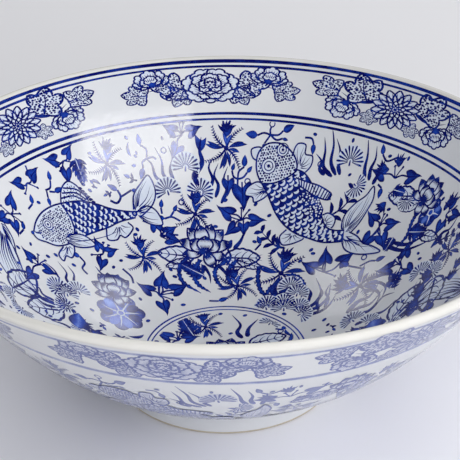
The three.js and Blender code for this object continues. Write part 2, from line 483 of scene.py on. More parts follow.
def printed(name, side, marks, material, node, between=(0, np.inf)):
    """One sheet of marks, cut off at two arc lengths and laid with the normals of the shine."""
    plan = np.concatenate(marks.points)
    place, normal = side.place(plan, np.concatenate(marks.lifts))
    corners = np.concatenate(marks.corners)
    reach = np.abs(plan)[corners]
    corners = corners[(reach.min(1) > between[0]) & (reach.max(1) < between[1])]
    a, b, c = (place[corners[:, k]] for k in range(3))
    facing = np.einsum("ij,ij->i", np.cross(b - a, c - a), normal[corners[:, 0]])
    corners, facing = corners[np.abs(facing) > 1e-9], facing[np.abs(facing) > 1e-9]
    corners[facing < 0] = corners[facing < 0][:, ::-1]
    mesh = bpy.data.meshes.new(name)
    mesh.vertices.add(len(place))
    mesh.vertices.foreach_set("co", (place * MM).ravel())
    mesh.loops.add(corners.size)
    mesh.loops.foreach_set("vertex_index", corners.ravel().astype(np.int32))
    mesh.polygons.add(len(corners))
    mesh.polygons.foreach_set("loop_start", np.arange(0, corners.size, 3, dtype=np.int32))
    mesh.update(calc_edges=True)
    mesh.polygons.foreach_set("use_smooth", np.ones(len(corners), bool))
    mesh.attributes.new("tone", "FLOAT", "POINT").data.foreach_set("value", np.concatenate(marks.tones))
    flat = np.stack([plan.real, plan.imag], 1)[corners.ravel()] / (2 * side.length) + 0.5
    mesh.uv_layers.new(name="OFBake").uv.foreach_set("vector", flat.ravel())
    mesh.normals_split_custom_set_from_vertices(normal)
    mesh.materials.append(material)
    piece = bpy.data.objects.new(name, mesh)
    bpy.context.scene.collection.objects.link(piece)
    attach(piece, "root")
    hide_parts(node)


inner_rings = Marks()
for index, (below_lip, width) in enumerate([(1.6, 2.2), (5.1, 1.5), (36.5, 1.9), (40.2, 1.6)]):
    ring(inner_rings, inside.length - below_lip, width, index)
for index, (arc, width) in enumerate([(47.3, 1.0), (44.8, 0.9)]):
    ring(inner_rings, arc, width, 2 + index, tone=0.7)
printed("inner_banding_lines", inside, inner_rings, cobalt_ink, "inner_border_print")

# ==== The flower sprays of the inside border ==================================================
# Eight transfers between the two pairs of lines, a peony spray and a chrysanthemum spray in turn,
# each cut out and laid by hand. Leaves are stippled, and petals are outlined and hatched.


def sweep(points, count=None):
    """A smooth line through points: cubic stretches whose slopes are half the step around a point."""
    points = np.asarray(points, complex)
    if len(points) == 2:
        return points[0] + (points[1] - points[0]) * np.linspace(0, 1, count or 5)
    ends = np.concatenate([[2 * points[0] - points[1]], points, [2 * points[-1] - points[-2]]])
    count = count or 5 * (len(points) - 1) + 1
    at = np.linspace(0, len(points) - 1, count)
    k = np.minimum(at.astype(int), len(points) - 2)
    t = at - k
    p0, p1, p2, p3 = ends[k], ends[k + 1], ends[k + 2], ends[k + 3]
    return 0.5 * (2 * p1 + (p2 - p0) * t + (2 * p0 - 5 * p1 + 4 * p2 - p3) * t**2
                  + (3 * p1 - p0 - 3 * p2 + p3) * t**3)


def even(s):
    """A brush held at one width."""
    return np.ones_like(s)


def pointed(s):
    """A stroke that starts and ends in a point."""
    return np.sin(np.pi * np.clip(s, 0.015, 0.985)) ** 0.75


def tailed(s):
    """A stroke that starts full and runs out to a tail."""
    return np.minimum(1, (s + 0.02) * 7) ** 0.5 * (1.02 - s) ** 0.75


def clubbed(s):
    """A stroke that grows to a round end."""
    return (0.28 + 0.72 * s**1.6) * np.minimum(1, (1.03 - s) * 9) ** 0.5


class Pen:
    """Draws a motif in its own frame, in millimetres with y upwards, in ink and in reserve.

    A later mark goes over an earlier one when its level is higher. Every stroke is wider than it is
    asked for by the brush's share.
    """

    brush = 1.3
    cell = 2.5

    def __init__(self, ink, reserve, place=0, turn=0.0, size=1.0, flip=False, level=0, chance=None):
        self.ink, self.reserve = ink, reserve
        self.origin, self.way, self.flip = complex(place), size * np.exp(1j * np.radians(turn)), flip
        self.size, self.level = size, level
        self.chance = chance or np.random.default_rng(7)

    def moved(self, place=0, turn=0.0, size=1.0, flip=False):
        """A pen for a motif placed in this pen's frame."""
        pen = Pen(self.ink, self.reserve, level=self.level, chance=self.chance)
        pen.origin = self.lay(np.array(complex(place)))[()]
        way = size * np.exp(1j * np.radians(turn))
        pen.way = self.way * (np.conj(way) if self.flip else way)
        pen.flip = self.flip != flip
        pen.size = self.size * size
        return pen

    def lay(self, points):
        """From the motif's frame to the plan."""
        points = np.asarray(points, complex)
        return self.origin + self.way * (-np.conj(points) if self.flip else points)

    def raised(self, levels=1):
        """Later marks go over the earlier ones."""
        self.level += levels
        return self

    def stroke(self, points, width, shape=even, tone=0.85, count=None, white=False, lift=2):
        """One stroke of the brush along a smooth line."""
        line = self.lay(sweep(points, count))
        along = np.gradient(line)
        across = 1j * along / np.maximum(np.abs(along), 1e-9)
        half = self.brush * width * self.size / 2 * shape(np.linspace(0, 1, len(line)))
        sheet = self.reserve if white else self.ink
        sheet.grid(line[:, None] + (across * half)[:, None] * np.array([-1, 1]), self.level + lift, tone)

    def leaf(self, base, tip, width, bend=0.0, tone=(0.85, 0.6), belly=0.45, lift=1):
        """A filled leaf from base to tip, widest at its belly and bowed by a share of its length."""
        base, tip = complex(base), complex(tip)
        s = np.linspace(0, 1, max(7, int(abs(tip - base) * self.size / 1.4)))
        line = base + (tip - base) * s + 1j * (tip - base) * bend * 4 * s * (1 - s)
        line = self.lay(line)
        along = np.gradient(line)
        across = 1j * along / np.maximum(np.abs(along), 1e-9)
        power = np.log(0.5) / np.log(belly)
        half = width * self.size / 2 * np.sin(np.pi * np.clip(s, 0.01, 0.99) ** power) ** 0.85
        edge, middle = tone if isinstance(tone, tuple) else (tone, tone)
        cells = line[:, None] + (across * half)[:, None] * np.array([-1, 0, 1])
        self.ink.grid(cells, self.level + lift, np.array([edge, middle, edge]))

    def fill(self, outline, tone=(0.85, 0.6), centre=None, white=False, lift=1):
        """Fills an outline that can be seen whole from its centre, with its own tone at the edge."""
        outline = self.lay(outline)
        outline = np.append(outline, outline[0])
        steps = max(1, int(np.abs(np.diff(outline)).max() / self.cell))
        share = np.arange((len(outline) - 1) * steps + 1) / steps
        outline = np.interp(share, np.arange(len(outline)), outline)
        centre = outline[:-1].mean() if centre is None else self.lay(np.array(complex(centre)))[()]
        rings = max(2, int(np.abs(outline - centre).max() / 2.2) + 1)
        share = np.linspace(0.002, 1, rings + 1)
        edge, middle = tone if isinstance(tone, tuple) else (tone, tone)
        sheet = self.reserve if white else self.ink
        shade = (middle + (edge - middle) * share**2)[:, None].repeat(len(outline), 1)
        sheet.grid(centre + share[:, None] * (outline - centre), self.level + lift, shade)

    def dot(self, centre, radius, tone=(0.9, 0.75), squash=1.0, turn=0.0, white=False, lift=2, sides=10):
        """A round or oval dab."""
        angle = np.linspace(0, 2 * np.pi, sides, endpoint=False)
        dab = radius * (np.cos(angle) + 1j * squash * np.sin(angle)) * np.exp(1j * np.radians(turn))
        self.fill(complex(centre) + dab, tone, centre, white, lift)

    def hoop(self, centre, radius, width, tone=0.85, lift=2, white=False):
        """A small ring."""
        angle = np.linspace(0, 2 * np.pi, 17)
        line = complex(centre) + radius * np.exp(1j * angle)
        both = line[:, None] + width / 2 * np.exp(1j * angle)[:, None] * np.array([-1, 1])
        sheet = self.reserve if white else self.ink
        sheet.grid(self.lay(both), self.level + lift, tone)

    def stipple(self, centres, radius, tone=0.9, lift=2, white=False):
        """Many small dots at once, each a hexagon."""
        centres = self.lay(centres)
        if not len(centres):
            return
        corner = radius * self.size * np.exp(1j * np.arange(6) * np.pi / 3)
        grow = self.chance.uniform(0.75, 1.25, len(centres))
        points = (centres[:, None] + grow[:, None] * corner).ravel()
        fan = np.array([[0, 1, 2], [0, 2, 3], [0, 3, 4], [0, 4, 5]])
        corners = (np.arange(len(centres))[:, None, None] * 6 + fan).reshape(-1, 3)
        sheet = self.reserve if white else self.ink
        sheet.add(points, corners, self.level + lift, tone)

    def outlined(self, outline, width, tone, lift=2):
        """A thin line round a closed outline."""
        line = self.lay(np.append(outline, outline[:2]))
        along = np.gradient(line)
        across = 1j * along / np.maximum(np.abs(along), 1e-9)
        sides = line[:, None] + (across * self.brush * width * self.size / 2)[:, None] * np.array([-1, 1])
        self.ink.grid(sides[:-1], self.level + lift, tone)


def arcs(tips, bends, count=6):
    """A closed outline of sharp tips joined by curves that lean towards the bends between them."""
    tips, bends = np.asarray(tips, complex), np.asarray(bends, complex)
    t = np.linspace(0, 1, count, endpoint=False)[None]
    start, end, lean = tips[:, None], np.roll(tips, -1)[:, None], bends[:, None]
    return ((1 - t) ** 2 * start + 2 * t * (1 - t) * lean + t**2 * end).ravel()


def inside_outline(outline, spacing, chance, margin, jitter=0.22):
    """Points of a jittered triangular net inside an outline, a little in from its edge.

    A point is inside when a level line from it to the right meets the outline an odd number of times.
    """
    centre = outline.mean()
    shape = centre + margin * (outline - centre)
    low, high = shape.real.min() + 1j * shape.imag.min(), shape.real.max() + 1j * shape.imag.max()
    rows = np.arange(low.imag, high.imag + spacing, 0.87 * spacing)
    columns = np.arange(low.real, high.real + spacing, spacing)
    x = columns[None] + 0.5 * spacing * (np.arange(len(rows)) % 2)[:, None]
    net = (x + 1j * rows[:, None]).ravel()
    net = net + spacing * jitter * (chance.normal(size=len(net)) + 1j * chance.normal(size=len(net)))
    a, b = shape[None], np.roll(shape, -1)[None]
    p = net[:, None]
    crosses = (a.imag > p.imag) != (b.imag > p.imag)
    rise = np.where(b.imag == a.imag, 1e-9, b.imag - a.imag)
    meets = (b.real - a.real) * (p.imag - a.imag) / rise + a.real
    return net[(crosses & (p.real < meets)).sum(1) % 2 == 1]


def stippled_leaf(pen, place, turn, size, veins=True):
    """A three-lobed leaf with a wavy edge, pale inside and filled with fine stipple."""
    pen = pen.moved(place, turn, size)
    tips = [0 + 11j, -3.4 + 5.6j, -7.4 + 6.6j, -5.8 + 0.6j, -7.8 - 4.0j, -1.6 - 4.4j, 1.8 - 4.6j, 7.6 - 4.4j,
            6.0 + 0.4j, 7.6 + 6.2j, 3.4 + 5.8j]
    bends = [-3.4 + 8.6j, -5.4 + 7.8j, -8.4 + 2.6j, -8.2 - 1.0j, -4.6 - 5.6j, 0 - 5.0j, 4.6 - 6.0j,
             8.4 - 1.2j, 8.6 + 2.4j, 5.6 + 7.8j, 3.4 + 8.8j]
    outline = arcs(tips, bends, 4)
    pen.fill(outline, 0.5, 0.5j, white=True, lift=0)
    pen.outlined(outline, 0.8, 0.9)
    pen.stipple(inside_outline(outline, 1.4, pen.chance, 0.93), 0.55, 0.97)
    if veins:
        pen.stroke([-4.6j, 0.5 + 1j, 7.6j], 0.8, tailed, 0.85)
        pen.stroke([0.3 + 0.2j, -4.6 + 3.4j], 0.5, tailed, 0.8)
        pen.stroke([0.3 - 0.4j, 4.6 + 3.0j], 0.5, tailed, 0.8)


def petal(pen, turn, length, width, foot, hatch, line):
    """A narrow pale petal: half its width is the sine of its height, with hatching from its foot."""
    pen = pen.moved(0, turn)
    pen.level += 3
    s = np.linspace(0, 1, 9)
    half = width / 2 * np.sin(np.pi * (0.08 + 0.90 * s**0.8)) ** 0.7
    rise = 1j * (length - foot) * s
    outline = np.concatenate([-half + rise, (half + rise)[::-1]]) + 1j * foot
    pen.fill(outline, 0.5, white=True, lift=0)
    pen.outlined(outline, line, 0.9)
    for k in range(hatch):
        side = (k - (hatch - 1) / 2) / max(1, hatch) * width * 0.7
        start = side + 1j * (foot + 0.30 * (length - foot))
        pen.stroke([start * 0.9, side * 1.05 + 1j * (foot + 0.78 * (length - foot))], 0.42, pointed, 0.75)


def ruffled_petal(whole, turn, length, width, hatch):
    """A round pale petal over the ones before it, hatched from its foot.

    It is an ellipse whose radius swells and sinks with the cosine of its angle, in seven scallops.
    """
    pen = whole.moved(0, turn)
    angle = np.linspace(-np.pi, np.pi, 42, endpoint=False)
    scallop = 0.84 + 0.17 * np.abs(np.cos(3.5 * angle)) ** 0.6
    outline = 0.52j * length + scallop * (width / 2 * np.sin(angle) + 0.48j * length * np.cos(angle))
    pen.fill(outline, 0.5, 0.5j * length, white=True, lift=0)
    pen.outlined(outline, 0.66, 0.92, lift=1)
    for k in range(hatch):
        side = (k - (hatch - 1) / 2) / hatch
        foot, end = side * width * 0.6 + 0.42j * length, side * width * 0.85 + 0.78j * length
        pen.stroke([foot, end], 0.5, tailed, 0.85, lift=1)
    whole.level += 2


def peony(pen, place, size):
    """A full peony: rounds of ruffled petals, wider than it is tall, about a stippled heart."""
    pen = pen.moved(place, 0, size)
    for angles, length, wider, width, hatch in [((180, 128, 232, 74, -74, 26, -26), 9.8, 2.0, 10.6, 7),
                                                ((155, 205, 102, -102, 50, -50, 0), 7.4, 1.5, 7.4, 6),
                                                ((180, 120, -120, 60, -60, 0), 4.9, 0, 4.6, 3)]:
        for angle in angles:
            ruffled_petal(pen, angle, length + wider * abs(np.sin(np.radians(angle))), width, hatch)
    pen.dot(0.6j, 2.2, 0.5, 0.8, white=True, lift=1)
    pen.hoop(0.6j, 2.2, 0.6, 0.9)
    heart = 0.6j + 1.5 * np.exp(1j * np.arange(6) * 2 * np.pi / 6)
    pen.stipple(np.concatenate([heart, [0.6j, 1.5 + 0.7j, -0.5 - 0.4j]]), 0.5, 0.95)


def chrysanthemum(pen, size):
    """A chrysanthemum face on: two rounds of narrow petals about a dark beaded eye."""
    pen = pen.moved(0, 0, size)
    for k in range(14):
        petal(pen, k * 360 / 14 + 5, 11.6, 4.9, 3.0, 2, 0.7)
    pen.level += 4
    for k in range(9):
        petal(pen, k * 40 + 12, 5.0, 3.0, 1.2, 0, 0.6)
    pen.level += 4
    pen.dot(0, 1.8, (0.8, 0.9))
    pen.stipple(1.1 * np.exp(1j * np.arange(7) * 2 * np.pi / 7), 0.32, white=True, tone=0.5, lift=3)


def side_bloom(pen, place, turn, size):
    """Half a flower seen from the side, its petals fanned out of a dark calyx."""
    pen = pen.moved(place, turn, size)
    for angle, length, width in [(-66, 9.0, 6.4), (66, 9.0, 6.4), (-34, 10.0, 7.4), (34, 10.0, 7.4),
                                 (0, 10.4, 7.6), (-42, 6.4, 5.2), (42, 6.4, 5.2), (0, 6.6, 6.0)]:
        ruffled_petal(pen, angle, length, width, 5)
    calyx = arcs([-2.2 + 2.2j, -1.6j, 2.2 + 2.2j, 2.6j], [-2.0 - 0.8j, 2.0 - 0.8j, 1.0 + 1.2j, -1.0 + 1.2j])
    pen.fill(calyx)


def peony_spray(pen):
    """A peony with a stippled leaf and a budding stem on each side."""
    for side in (1, -1):
        half = pen.moved(flip=side < 0)
        half.stroke([9 - 6j, 15 - 7.5j, 22 - 3j, 27 + 3j], 1.2, tailed, 0.85, lift=0)
        half.stroke([21 - 4j, 25 + 0j, 30 - 0.5j], 0.9, tailed, 0.85, lift=0)
        stippled_leaf(half, 13.6 - 4.2j, 205, 0.78)
        stippled_leaf(half, 18.0 + 1.6j, -35, 0.95)
        side_bloom(half, 26.2 + 3.6j, -10, 1.02)
        stippled_leaf(half, 33.2 - 2.0j, -75, 0.78)
    pen.level += 6
    peony(pen, 0.6j, 1.14)


def chrysanthemum_spray(pen):
    """A chrysanthemum with small leaves below, stippled leaves and a hanging bloom on each side."""
    for side in (1, -1):
        half = pen.moved(flip=side < 0)
        half.stroke([11 + 1j, 17 - 1j, 23 + 0j, 28 + 3j], 1.3, tailed, 0.85, lift=0)
        stippled_leaf(half, 16.8 + 5.4j, -20, 1.15)
        stippled_leaf(half, 11.0 - 8.8j, 225, 0.55, veins=False)
        side_bloom(half, 24.6 - 3.0j, 200, 1.1)
        stippled_leaf(half, 33.0 + 4.6j, -78, 0.85)
    pen.level += 6
    chrysanthemum(pen, 1.06)


def border(side, mid_arc, reach, turns_of_sprays, scale, start_chance):
    """Both kinds of spray in turn round a border. Returns the marks in ink and in reserve.

    A spray is drawn flat, then bent round the border: x becomes distance round the ring at its
    middle arc, and y becomes distance towards the lip, shortened or drawn out by the reach.
    """
    ink, reserve = Marks(), Marks()
    chance = np.random.default_rng(start_chance)
    radius = side.at(mid_arc)[0][0]
    for index, centre in enumerate(turns_of_sprays):
        flat_ink, flat_reserve = Marks(), Marks()
        pen = Pen(flat_ink, flat_reserve, size=scale, chance=chance)
        (chrysanthemum_spray if index % 2 else peony_spray)(pen)
        for flat, whole in ((flat_ink, ink), (flat_reserve, reserve)):
            for k, points in enumerate(flat.points):
                arc = mid_arc + points.imag * reach
                angle = np.radians(90 - centre) - points.real / radius
                whole.points.append(arc * np.exp(1j * angle))
                whole.lifts.append(flat.lifts[k])
                whole.tones.append(flat.tones[k])
                whole.corners.append(flat.corners[k] + whole.count)
            whole.count += flat.count
    return ink, reserve


inner_sprays = [-2.9, 41.5, 87.0, 132.0, 177.0, 222.0, 267.0, 309.2]
ink, reserve = border(inside, inside.length - 18.9, 0.70, inner_sprays, 1.42, 11)
printed("inner_border_blossoms", inside, ink, cobalt_ink, "inner_border_print")
printed("inner_border_reserves", inside, reserve, reserve_white, "inner_border_print")

# ==== The koi and water plants of the inside field ============================================
# One large transfer round the wall: two koi, lotus, lily pads and water weeds that fill the space
# between them. Half the wall is drawn, and the other half repeats it, turned half way round, but
# for one bank of thistles and the small growth that fills the gaps.


def band(pen, one, other, tone, white=False, lift=1):
    """Fills between two lines that run side by side, such as the back and belly of a fish."""
    count = 5 * max(len(one), len(other))
    one, other = sweep(one, count), sweep(other, count)
    across = max(3, int(np.abs(pen.lay(one) - pen.lay(other)).max() / 2.4) + 1)
    share = np.linspace(0, 1, across)
    sheet = pen.reserve if white else pen.ink
    sheet.grid(pen.lay(one[:, None] * (1 - share) + other[:, None] * share), pen.level + lift, tone)


def scales(pen, back, belly, first, last, columns, rows, size):
    """Staggered scales between two edges, each a white crescent that bulges towards the tail."""
    back, belly = sweep(back, 60), sweep(belly, 60)
    crescent = np.array([-1.35, -0.7, 0, 0.7, 1.35])
    for k in range(columns):
        at = first + (last - first) * (k / (columns - 1)) ** 0.92
        i = min(int(at * 59), 58)
        across = belly[i] - back[i]
        along = back[i + 1] + belly[i + 1] - back[i] - belly[i]
        along = along / abs(along)
        count = max(2, int(round(rows * abs(across) / np.abs(belly - back).max())))
        for row in range(count):
            share = (row + (0.25 if k % 2 else 0.75)) / count
            centre = back[i] + across * share
            half = 0.40 * abs(across) / count
            bow = centre + along * (half * 0.95 * np.cos(crescent))
            bow = bow + 1j * along * half * np.sin(crescent) * 0.95
            pen.stroke(bow, size, pointed, 0.5, white=True, lift=3)


def fin(pen, outline, root, rays, width=0.6):
    """A pale fin: a smooth outline from the body and back, with rays from its root."""
    edge = sweep(outline, 7 * len(outline))
    centre = 0.5 * edge.mean() + 0.25 * (edge[0] + edge[-1])
    pen.fill(edge, 0.5, centre, white=True, lift=0)
    pen.stroke(outline, 0.85, even, 0.9, count=len(edge), lift=2)
    root = complex(root)
    rays = int(1.6 * rays)
    for k in range(rays):
        tip = edge[int((k + 1) / (rays + 1) * (len(edge) - 1))]
        bow = 0.06j * (tip - root) * (1 if k < rays / 2 else -1)
        pen.stroke([root + 0.16 * (tip - root), (root + tip) / 2 + bow, root + 0.88 * (tip - root)],
                   1.05 * width, tailed, 0.92)


def eye(pen, centre, radius):
    """A koi's eye: rings about a dark pupil."""
    pen.dot(centre, radius, 0.5, white=True, lift=4, sides=16)
    pen.hoop(centre, radius, 0.75, 0.9, lift=5)
    pen.hoop(centre, radius * 0.60, 0.75, 0.85, lift=5)
    pen.dot(centre, radius * 0.24, 0.95, lift=6)


def koi_side(pen):
    """A koi from the side, swimming down to the left, with its tail up behind it."""
    back = [-129 + 60j, -129 + 69j, -126 + 79j, -119.5 + 88.5j, -111 + 96j, -101 + 102.5j, -90 + 105.5j,
            -78 + 106.5j, -67 + 108.5j, -60 + 110.5j]
    belly = [-129 + 58j, -125 + 56.5j, -119 + 58.5j, -111 + 61j, -104 + 67j, -97 + 76j, -88 + 85j,
             -79 + 92.5j, -71 + 100j, -61 + 106j]
    gill = [-114 + 93j, -106 + 87j, -101 + 78j, -104 + 67j]
    fin(pen, [-63 + 111j, -64 + 121j, -60 + 130j, -55 + 137j, -49 + 128j, -50 + 118j, -57 + 108j],
        -61 + 110j, 7)
    fin(pen, [-60 + 111j, -54 + 116j, -47 + 114j, -42 + 106j, -48 + 104j, -56 + 105j], -61 + 109j, 5)
    fin(pen, [-80 + 91j, -78 + 84j, -72 + 86j, -70 + 90j, -66 + 90j, -62 + 98j, -66 + 101j], -72 + 97j, 4)
    fin(pen, [-107 + 63j, -109 + 55j, -105 + 52j, -104 + 57j, -100 + 58j, -99 + 64j, -101 + 70j],
        -104 + 66j, 4)
    fin(pen, [-114 + 92j, -116 + 103j, -113 + 111j, -107 + 112j, -100 + 109j, -95 + 105j], -105 + 98j, 0)
    crest = np.array([-113 + 93j, -115 + 103j, -112.5 + 110j, -107 + 111j, -100 + 108.5j, -96 + 105j])
    pen.stipple(inside_outline(crest, 1.9, pen.chance, 0.95), 0.5, 0.95)
    for k in range(3):
        start, end = -115 + 4j * k + 97j, -98 + 1.2 * k + 104j + 1.5j * k
        pen.stroke([start, (start + end) / 2 + 3j, end], 0.9, even, 0.92, lift=3)
    for k in range(6):
        foot = -104 + 110j + k * (2.2 - 1.0j)
        pen.leaf(foot, foot + 3.0 + 1.6j, 2.2, 0.1, 0.92, 0.4, lift=3)
    pen.raised(2)
    band(pen, back, belly, 0.5, white=True)
    body_back, body_belly = [-113.5 + 92j] + back[4:], [-106 + 65j, -101 + 70.5j] + belly[5:]
    band(pen, body_back, body_belly, 0.86, lift=2)
    scales(pen, body_back, body_belly, 0.03, 0.95, 18, 6, 1.25)
    for edge in (back, belly):
        pen.stroke(edge, 0.9, even, 0.95, lift=4)
    pen.stroke(gill, 1.0, even, 0.9, lift=5)
    head = np.array([-127 + 60j, -127.5 + 69j, -124.5 + 79j, -118 + 88j, -114 + 92j, -106.5 + 86.5j,
                     -102 + 78j, -104 + 68j, -111 + 62j, -119 + 59.5j])
    head = sweep(np.append(head, head[0]), 70)[:-1]
    pen.fill(head, 0.5, -113 + 75j, white=True, lift=4)
    pen.raised(3)
    pen.stipple(inside_outline(head, 1.8, pen.chance, 0.95, 0.1), 0.66, 0.97, lift=5)
    pen.raised(2)
    eye(pen, -120.5 + 72.5j, 3.9)
    pen.stroke([-130 + 60j, -126 + 61j, -123.5 + 63.5j], 0.9, pointed, 0.9, lift=5)
    pen.dot(-129.5 + 58.5j, 1.4, (0.9, 0.5), lift=5)
    pen.raised(6)
    fin(pen, [-106 + 73j, -99 + 78j, -92 + 79j, -86 + 76j, -92 + 71j, -99 + 68j, -105 + 68j], -107 + 70j, 6)
    pen.stroke([-101 + 71j, -90 + 78j, -78 + 87j, -66 + 98j], 0.7, tailed, 0.8, lift=1)
    eye(pen, -62 + 108.5j, 1.7)


def koi_above(pen):
    """A koi from above, climbing to the rim, with its tail swept round to the right."""
    left = [27 + 136j, 31 + 127j, 35 + 115j, 40 + 105.5j, 47 + 97.5j, 56 + 91j, 66 + 84.5j, 79 + 80j]
    right = [52 + 141j, 59 + 136j, 64 + 125j, 66.5 + 113j, 67 + 103j, 69 + 95j, 74 + 90.5j, 81 + 87.5j]
    fin(pen, [79 + 86j, 80 + 93j, 84 + 99j, 92 + 103j, 100 + 104.5j, 107 + 108j, 105 + 100j, 99 + 94j,
              92 + 88j, 85 + 84j], 80 + 86j, 8)
    fin(pen, [78 + 82j, 79 + 74j, 84 + 68j, 92 + 63j, 102 + 59j, 98 + 66j, 92 + 72j, 89 + 79j, 84 + 85j],
        80 + 83j, 7)
    fin(pen, [53 + 142j, 52 + 151j, 56 + 157j, 62 + 155j, 61 + 149j, 66 + 146j, 64 + 140j, 58 + 136j],
        55 + 141j, 6)
    fin(pen, [30 + 134j, 24 + 137j, 17 + 134j, 15 + 129j, 20 + 127j, 21 + 123.5j, 27 + 125j, 32 + 128j],
        31 + 131j, 6)
    fin(pen, [42 + 101j, 37 + 97j, 38 + 91j, 44 + 90j, 51 + 91j, 53 + 92j], 46 + 97j, 4)
    fin(pen, [67 + 104j, 72 + 104j, 76 + 99j, 74 + 94j, 70 + 92j], 68 + 98j, 4)
    pen.raised(2)
    pen.fill(arcs([27 + 152j, 30 + 158j, 22 + 160j], [23 + 160j, 26 + 162j, 20 + 155j]), 0.5, white=True)
    pen.stroke([28 + 150j, 22 + 153j, 21 + 159j, 27 + 160j, 31 + 157j], 0.85, even, 0.9)
    band(pen, left, right, 0.86)
    scales(pen, left, right, 0.04, 0.95, 23, 6, 1.35)
    for edge in (left, right):
        pen.stroke(edge, 0.9, even, 0.95, lift=4)
    head = np.array([27 + 135.5j, 24.5 + 142j, 24 + 149j, 26 + 156j, 31 + 160.5j, 37 + 161.5j, 44 + 159.5j,
                     50 + 154j, 53.5 + 147j, 53 + 140j, 46 + 136.5j, 36 + 134.5j])
    head = sweep(np.append(head, head[0]), 60)[:-1]
    pen.fill(head, 0.5, 39 + 148j, white=True, lift=3)
    pen.outlined(head, 0.95, 0.92, lift=5)
    pen.stipple(inside_outline(head, 1.95, pen.chance, 0.94, 0.1), 0.73, 0.97, lift=4)
    eye(pen, 33 + 146.5j, 5.2)
    eye(pen, 44.5 + 155.5j, 4.4)
    pen.raised(3)
    strip = [52 + 135j, 60 + 130j, 68 + 125j, 75 + 118j, 76 + 115j]
    under = [53 + 130j, 58 + 125j, 64 + 119j, 71 + 114j, 75 + 113j]
    band(pen, strip, under, 0.5, white=True)
    for edge in (strip, under):
        pen.stroke(edge, 0.85, even, 0.9)
    upper, lower = sweep(strip, 17), sweep(under, 17)
    for k in range(1, 16):
        pen.stroke([upper[k], lower[k]], 0.75, even, 0.85)
    patch = np.array([53 + 127j, 60 + 122j, 67 + 116j, 69 + 108j, 66 + 101j, 60 + 106j, 55 + 116j])
    pen.fill(patch, 0.88)
    pen.stipple(inside_outline(patch, 2.0, pen.chance, 0.9), 0.62, white=True)


def lotus_petal(pen, turn, length, width, at, lines=8):
    """A broad petal with a sharp tip, pale, and hatched from its tip and its foot."""
    pen = pen.moved(at, turn)
    outline = arcs([0, 1j * length], [-width + 0.50j * length, width + 0.50j * length], 10)
    pen.fill(outline, 0.5, 0.5j * length, white=True, lift=0)
    pen.outlined(outline, 0.85, 0.92, lift=1)
    for k in range(lines):
        side = (k - (lines - 1) / 2) / lines
        foot = side * width * 0.30 + 0.06j * length
        pen.stroke([foot, side * width * 0.75 + 0.48j * length], 0.7, tailed, 0.88, lift=1)
        tip = side * width * 0.20 + 0.95j * length
        pen.stroke([tip, side * width * 0.78 + 0.62j * length], 0.60, tailed, 0.88, lift=1)


def lotus(pen, place, turn, size):
    """An open lotus from the side: a fan of petals behind, a cup in front, two petals drooping."""
    pen = pen.moved(place, turn, size)
    for angle, length, width, at in [(-112, 13, 6, -2j), (108, 13, 6, -2j), (-76, 15, 7, -1j),
                                     (76, 15, 7, -1j), (-44, 14.5, 8, 0), (44, 14.5, 8, 0),
                                     (-14, 14, 8, 0), (16, 13.5, 8, 0), (-56, 10, 8, -2j),
                                     (56, 10, 8, -2j), (-150, 11, 6, -3j), (0, 9.5, 9, -3j)]:
        lotus_petal(pen, angle, length, width, at)
        pen.level += 2


def feather(pen, tip, bend=0.12, barbs=8):
    """A feathered arm out of a flower's heart: a fine rib with short barbs on both sides."""
    way = tip / abs(tip)
    s = np.linspace(0, 1, 5)
    pen.stroke(tip * s + 1j * tip * bend * 4 * s * (1 - s), 1.15, tailed, 0.92)
    for k in range(barbs):
        at = 0.25 + 0.72 * k / (barbs - 1)
        foot = tip * at + 1j * tip * bend * 4 * at * (1 - at)
        long = 3.4 * (1.1 - at * 0.65)
        for side in (1j, -1j):
            pen.stroke([foot, foot + way * (0.7 + side) * long * 0.72], 0.8, tailed, 0.92, count=4)


def thistle(pen, place, turn, size=1.0):
    """A thistle bloom: a small dark cup under a ragged crown of points."""
    pen = pen.moved(place, turn - 90, size)
    cup = arcs([-3.8 + 4.4j, -1.6j, 3.8 + 4.4j, 6.0j], [-3.6 + 0.4j, 3.6 + 0.4j, 1.6 + 3.6j, -1.6 + 3.6j], 4)
    pen.fill(cup, (0.95, 0.6), 2.2j, lift=3)
    for angle, length in ((34, 7.5), (52, 6.0), (70, 8.5), (92, 7.0), (112, 8.5), (130, 6.0), (147, 7.5)):
        way = np.exp(1j * np.radians(angle))
        pen.leaf(1.2j, 1.2j + length * way, 2.0, 0.08, 0.94, 0.45, lift=3)


def starflower(pen, place, turn, size):
    """A star of feathered arms and paired narrow leaves, with a spiky thistle bloom on top."""
    pen = pen.moved(place, turn, size)
    for angle in (48, 130, 214, 306):
        feather(pen, 15.5 * np.exp(1j * np.radians(angle)))
    for angle, length in ((10, 14), (18, 12), (166, 13), (174, 14), (-14, 9), (254, 13), (264, 12),
                          (285, 11)):
        way = np.exp(1j * np.radians(angle))
        pen.leaf(1.5 * way, length * way, 2.3, 0.06, (0.97, 0.70), 0.55, lift=3)
    for tip, bend in ((3.4 + 8j, 0.1), (-2.8 + 8.5j, -0.1)):
        pen.leaf(0, tip, 2.4, bend, (0.95, 0.4), 0.6, lift=3)
    thistle(pen, 8j, 90)
    pen.dot(0, 1.6, 0.95, lift=4)


